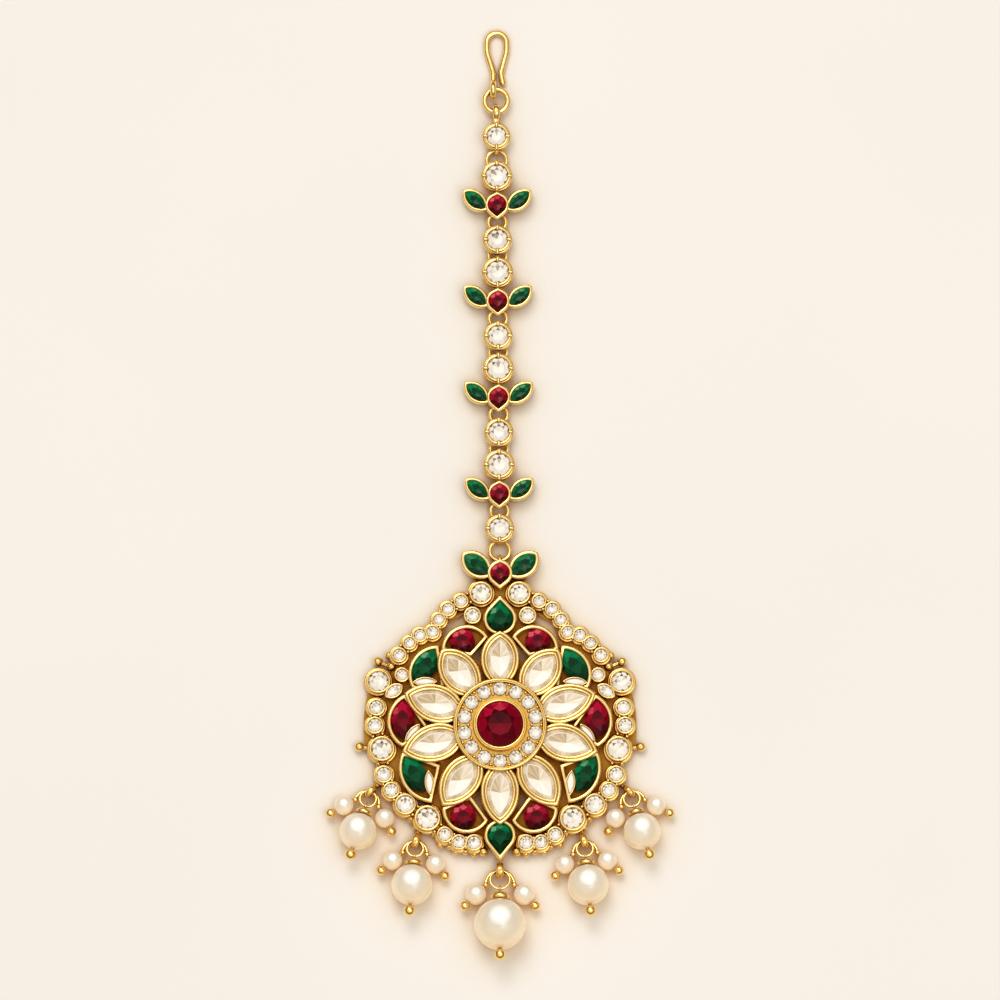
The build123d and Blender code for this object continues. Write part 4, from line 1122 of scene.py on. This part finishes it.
def floor_material():
    material, nodes, links, shader = new_material("pale_floor")
    clouds = noise(nodes, links, 14, 2)
    tint = ramp(nodes, [(0.3, (0.895, 0.903, 0.923)), (0.7, (0.912, 0.921, 0.941))])
    links.new(clouds.outputs["Fac"], tint.inputs["Fac"])
    # Painted shadow: near the jewel the floor is tinted a darker warm tan, strongest where parts
    # stand closest.
    shadow_nearness = nodes.new("ShaderNodeAmbientOcclusion")
    shadow_nearness.samples = 8
    shadow_nearness.inputs["Distance"].default_value = 0.007
    painted_shading = ramp(nodes, [(0.15, (0.66, 0.44, 0.25)), (0.6, (0.96, 0.88, 0.77)), (0.98, (1, 1, 1))])
    links.new(shadow_nearness.outputs["AO"], painted_shading.inputs["Fac"])
    links.new(multiply(nodes, links, tint.outputs["Color"], painted_shading.outputs["Color"]),
              shader.inputs["Base Color"])
    shader.inputs["Roughness"].default_value = 0.9
    shader.inputs["Specular IOR Level"].default_value = 0.1
    return material


def make_floor():
    size = FLOOR_HALF
    mesh = bpy.data.meshes.new("floor")
    mesh.from_pydata([(-size, -size, 0), (size, -size, 0), (size, size, 0), (-size, size, 0)],
                     [], [(0, 1, 2, 3)])
    mesh.materials.append(floor_material())
    floor = bpy.data.objects.new("floor", mesh)
    floor.location.z = -FLOOR_DROP
    bpy.context.scene.collection.objects.link(floor)


def area_light(light):
    data = bpy.data.lights.new(light.name, "AREA")
    data.shape, data.size, data.energy, data.color = "DISK", light.size, light.power, light.colour
    lamp = bpy.data.objects.new(light.name, data)
    lamp.location = light.place
    aim = LIGHT_TARGET - Vector(light.place)
    lamp.rotation_euler = aim.to_track_quat("-Z", "Y").to_euler()
    bpy.context.scene.collection.objects.link(lamp)


def studio_world():
    """A bright ceiling that fades to a warm, dimmer horizon."""
    world = bpy.data.worlds.new("studio")
    bpy.context.scene.world = world
    world.use_nodes = True
    nodes, links = world.node_tree.nodes, world.node_tree.links
    background = nodes["Background"]
    place = nodes.new("ShaderNodeTexCoord")
    split = nodes.new("ShaderNodeSeparateXYZ")
    fade = ramp(nodes, [(0.0, (0.14, 0.08, 0.03)), (0.45, (0.30, 0.20, 0.09)),
                        (0.68, (0.80, 0.70, 0.54)), (0.9, (1.0, 0.97, 0.92))])
    links.new(place.outputs["Generated"], split.inputs["Vector"])
    links.new(split.outputs["Z"], fade.inputs["Fac"])
    links.new(fade.outputs["Color"], background.inputs["Color"])
    background.inputs["Strength"].default_value = WORLD_STRENGTH


def make_camera():
    data = bpy.data.cameras.new("camera")
    data.sensor_width = 36
    data.lens = data.sensor_width * CAMERA_DISTANCE / FRAME_WIDTH
    data.clip_start, data.clip_end = 0.5, 20
    camera = bpy.data.objects.new("camera", data)
    tilt = radians(CAMERA_TILT)
    aim = Vector((AIM_X, AIM_Y, AIM_Z)) * MM
    camera.location = aim + CAMERA_DISTANCE * Vector((0, -sin(tilt), cos(tilt)))
    camera.rotation_euler = (tilt, 0, 0)
    bpy.context.scene.collection.objects.link(camera)
    bpy.context.scene.camera = camera


make_floor()
studio_world()
make_camera()
for light in LIGHTS:
    area_light(light)
bpy.context.scene.view_settings.view_transform = "Standard"
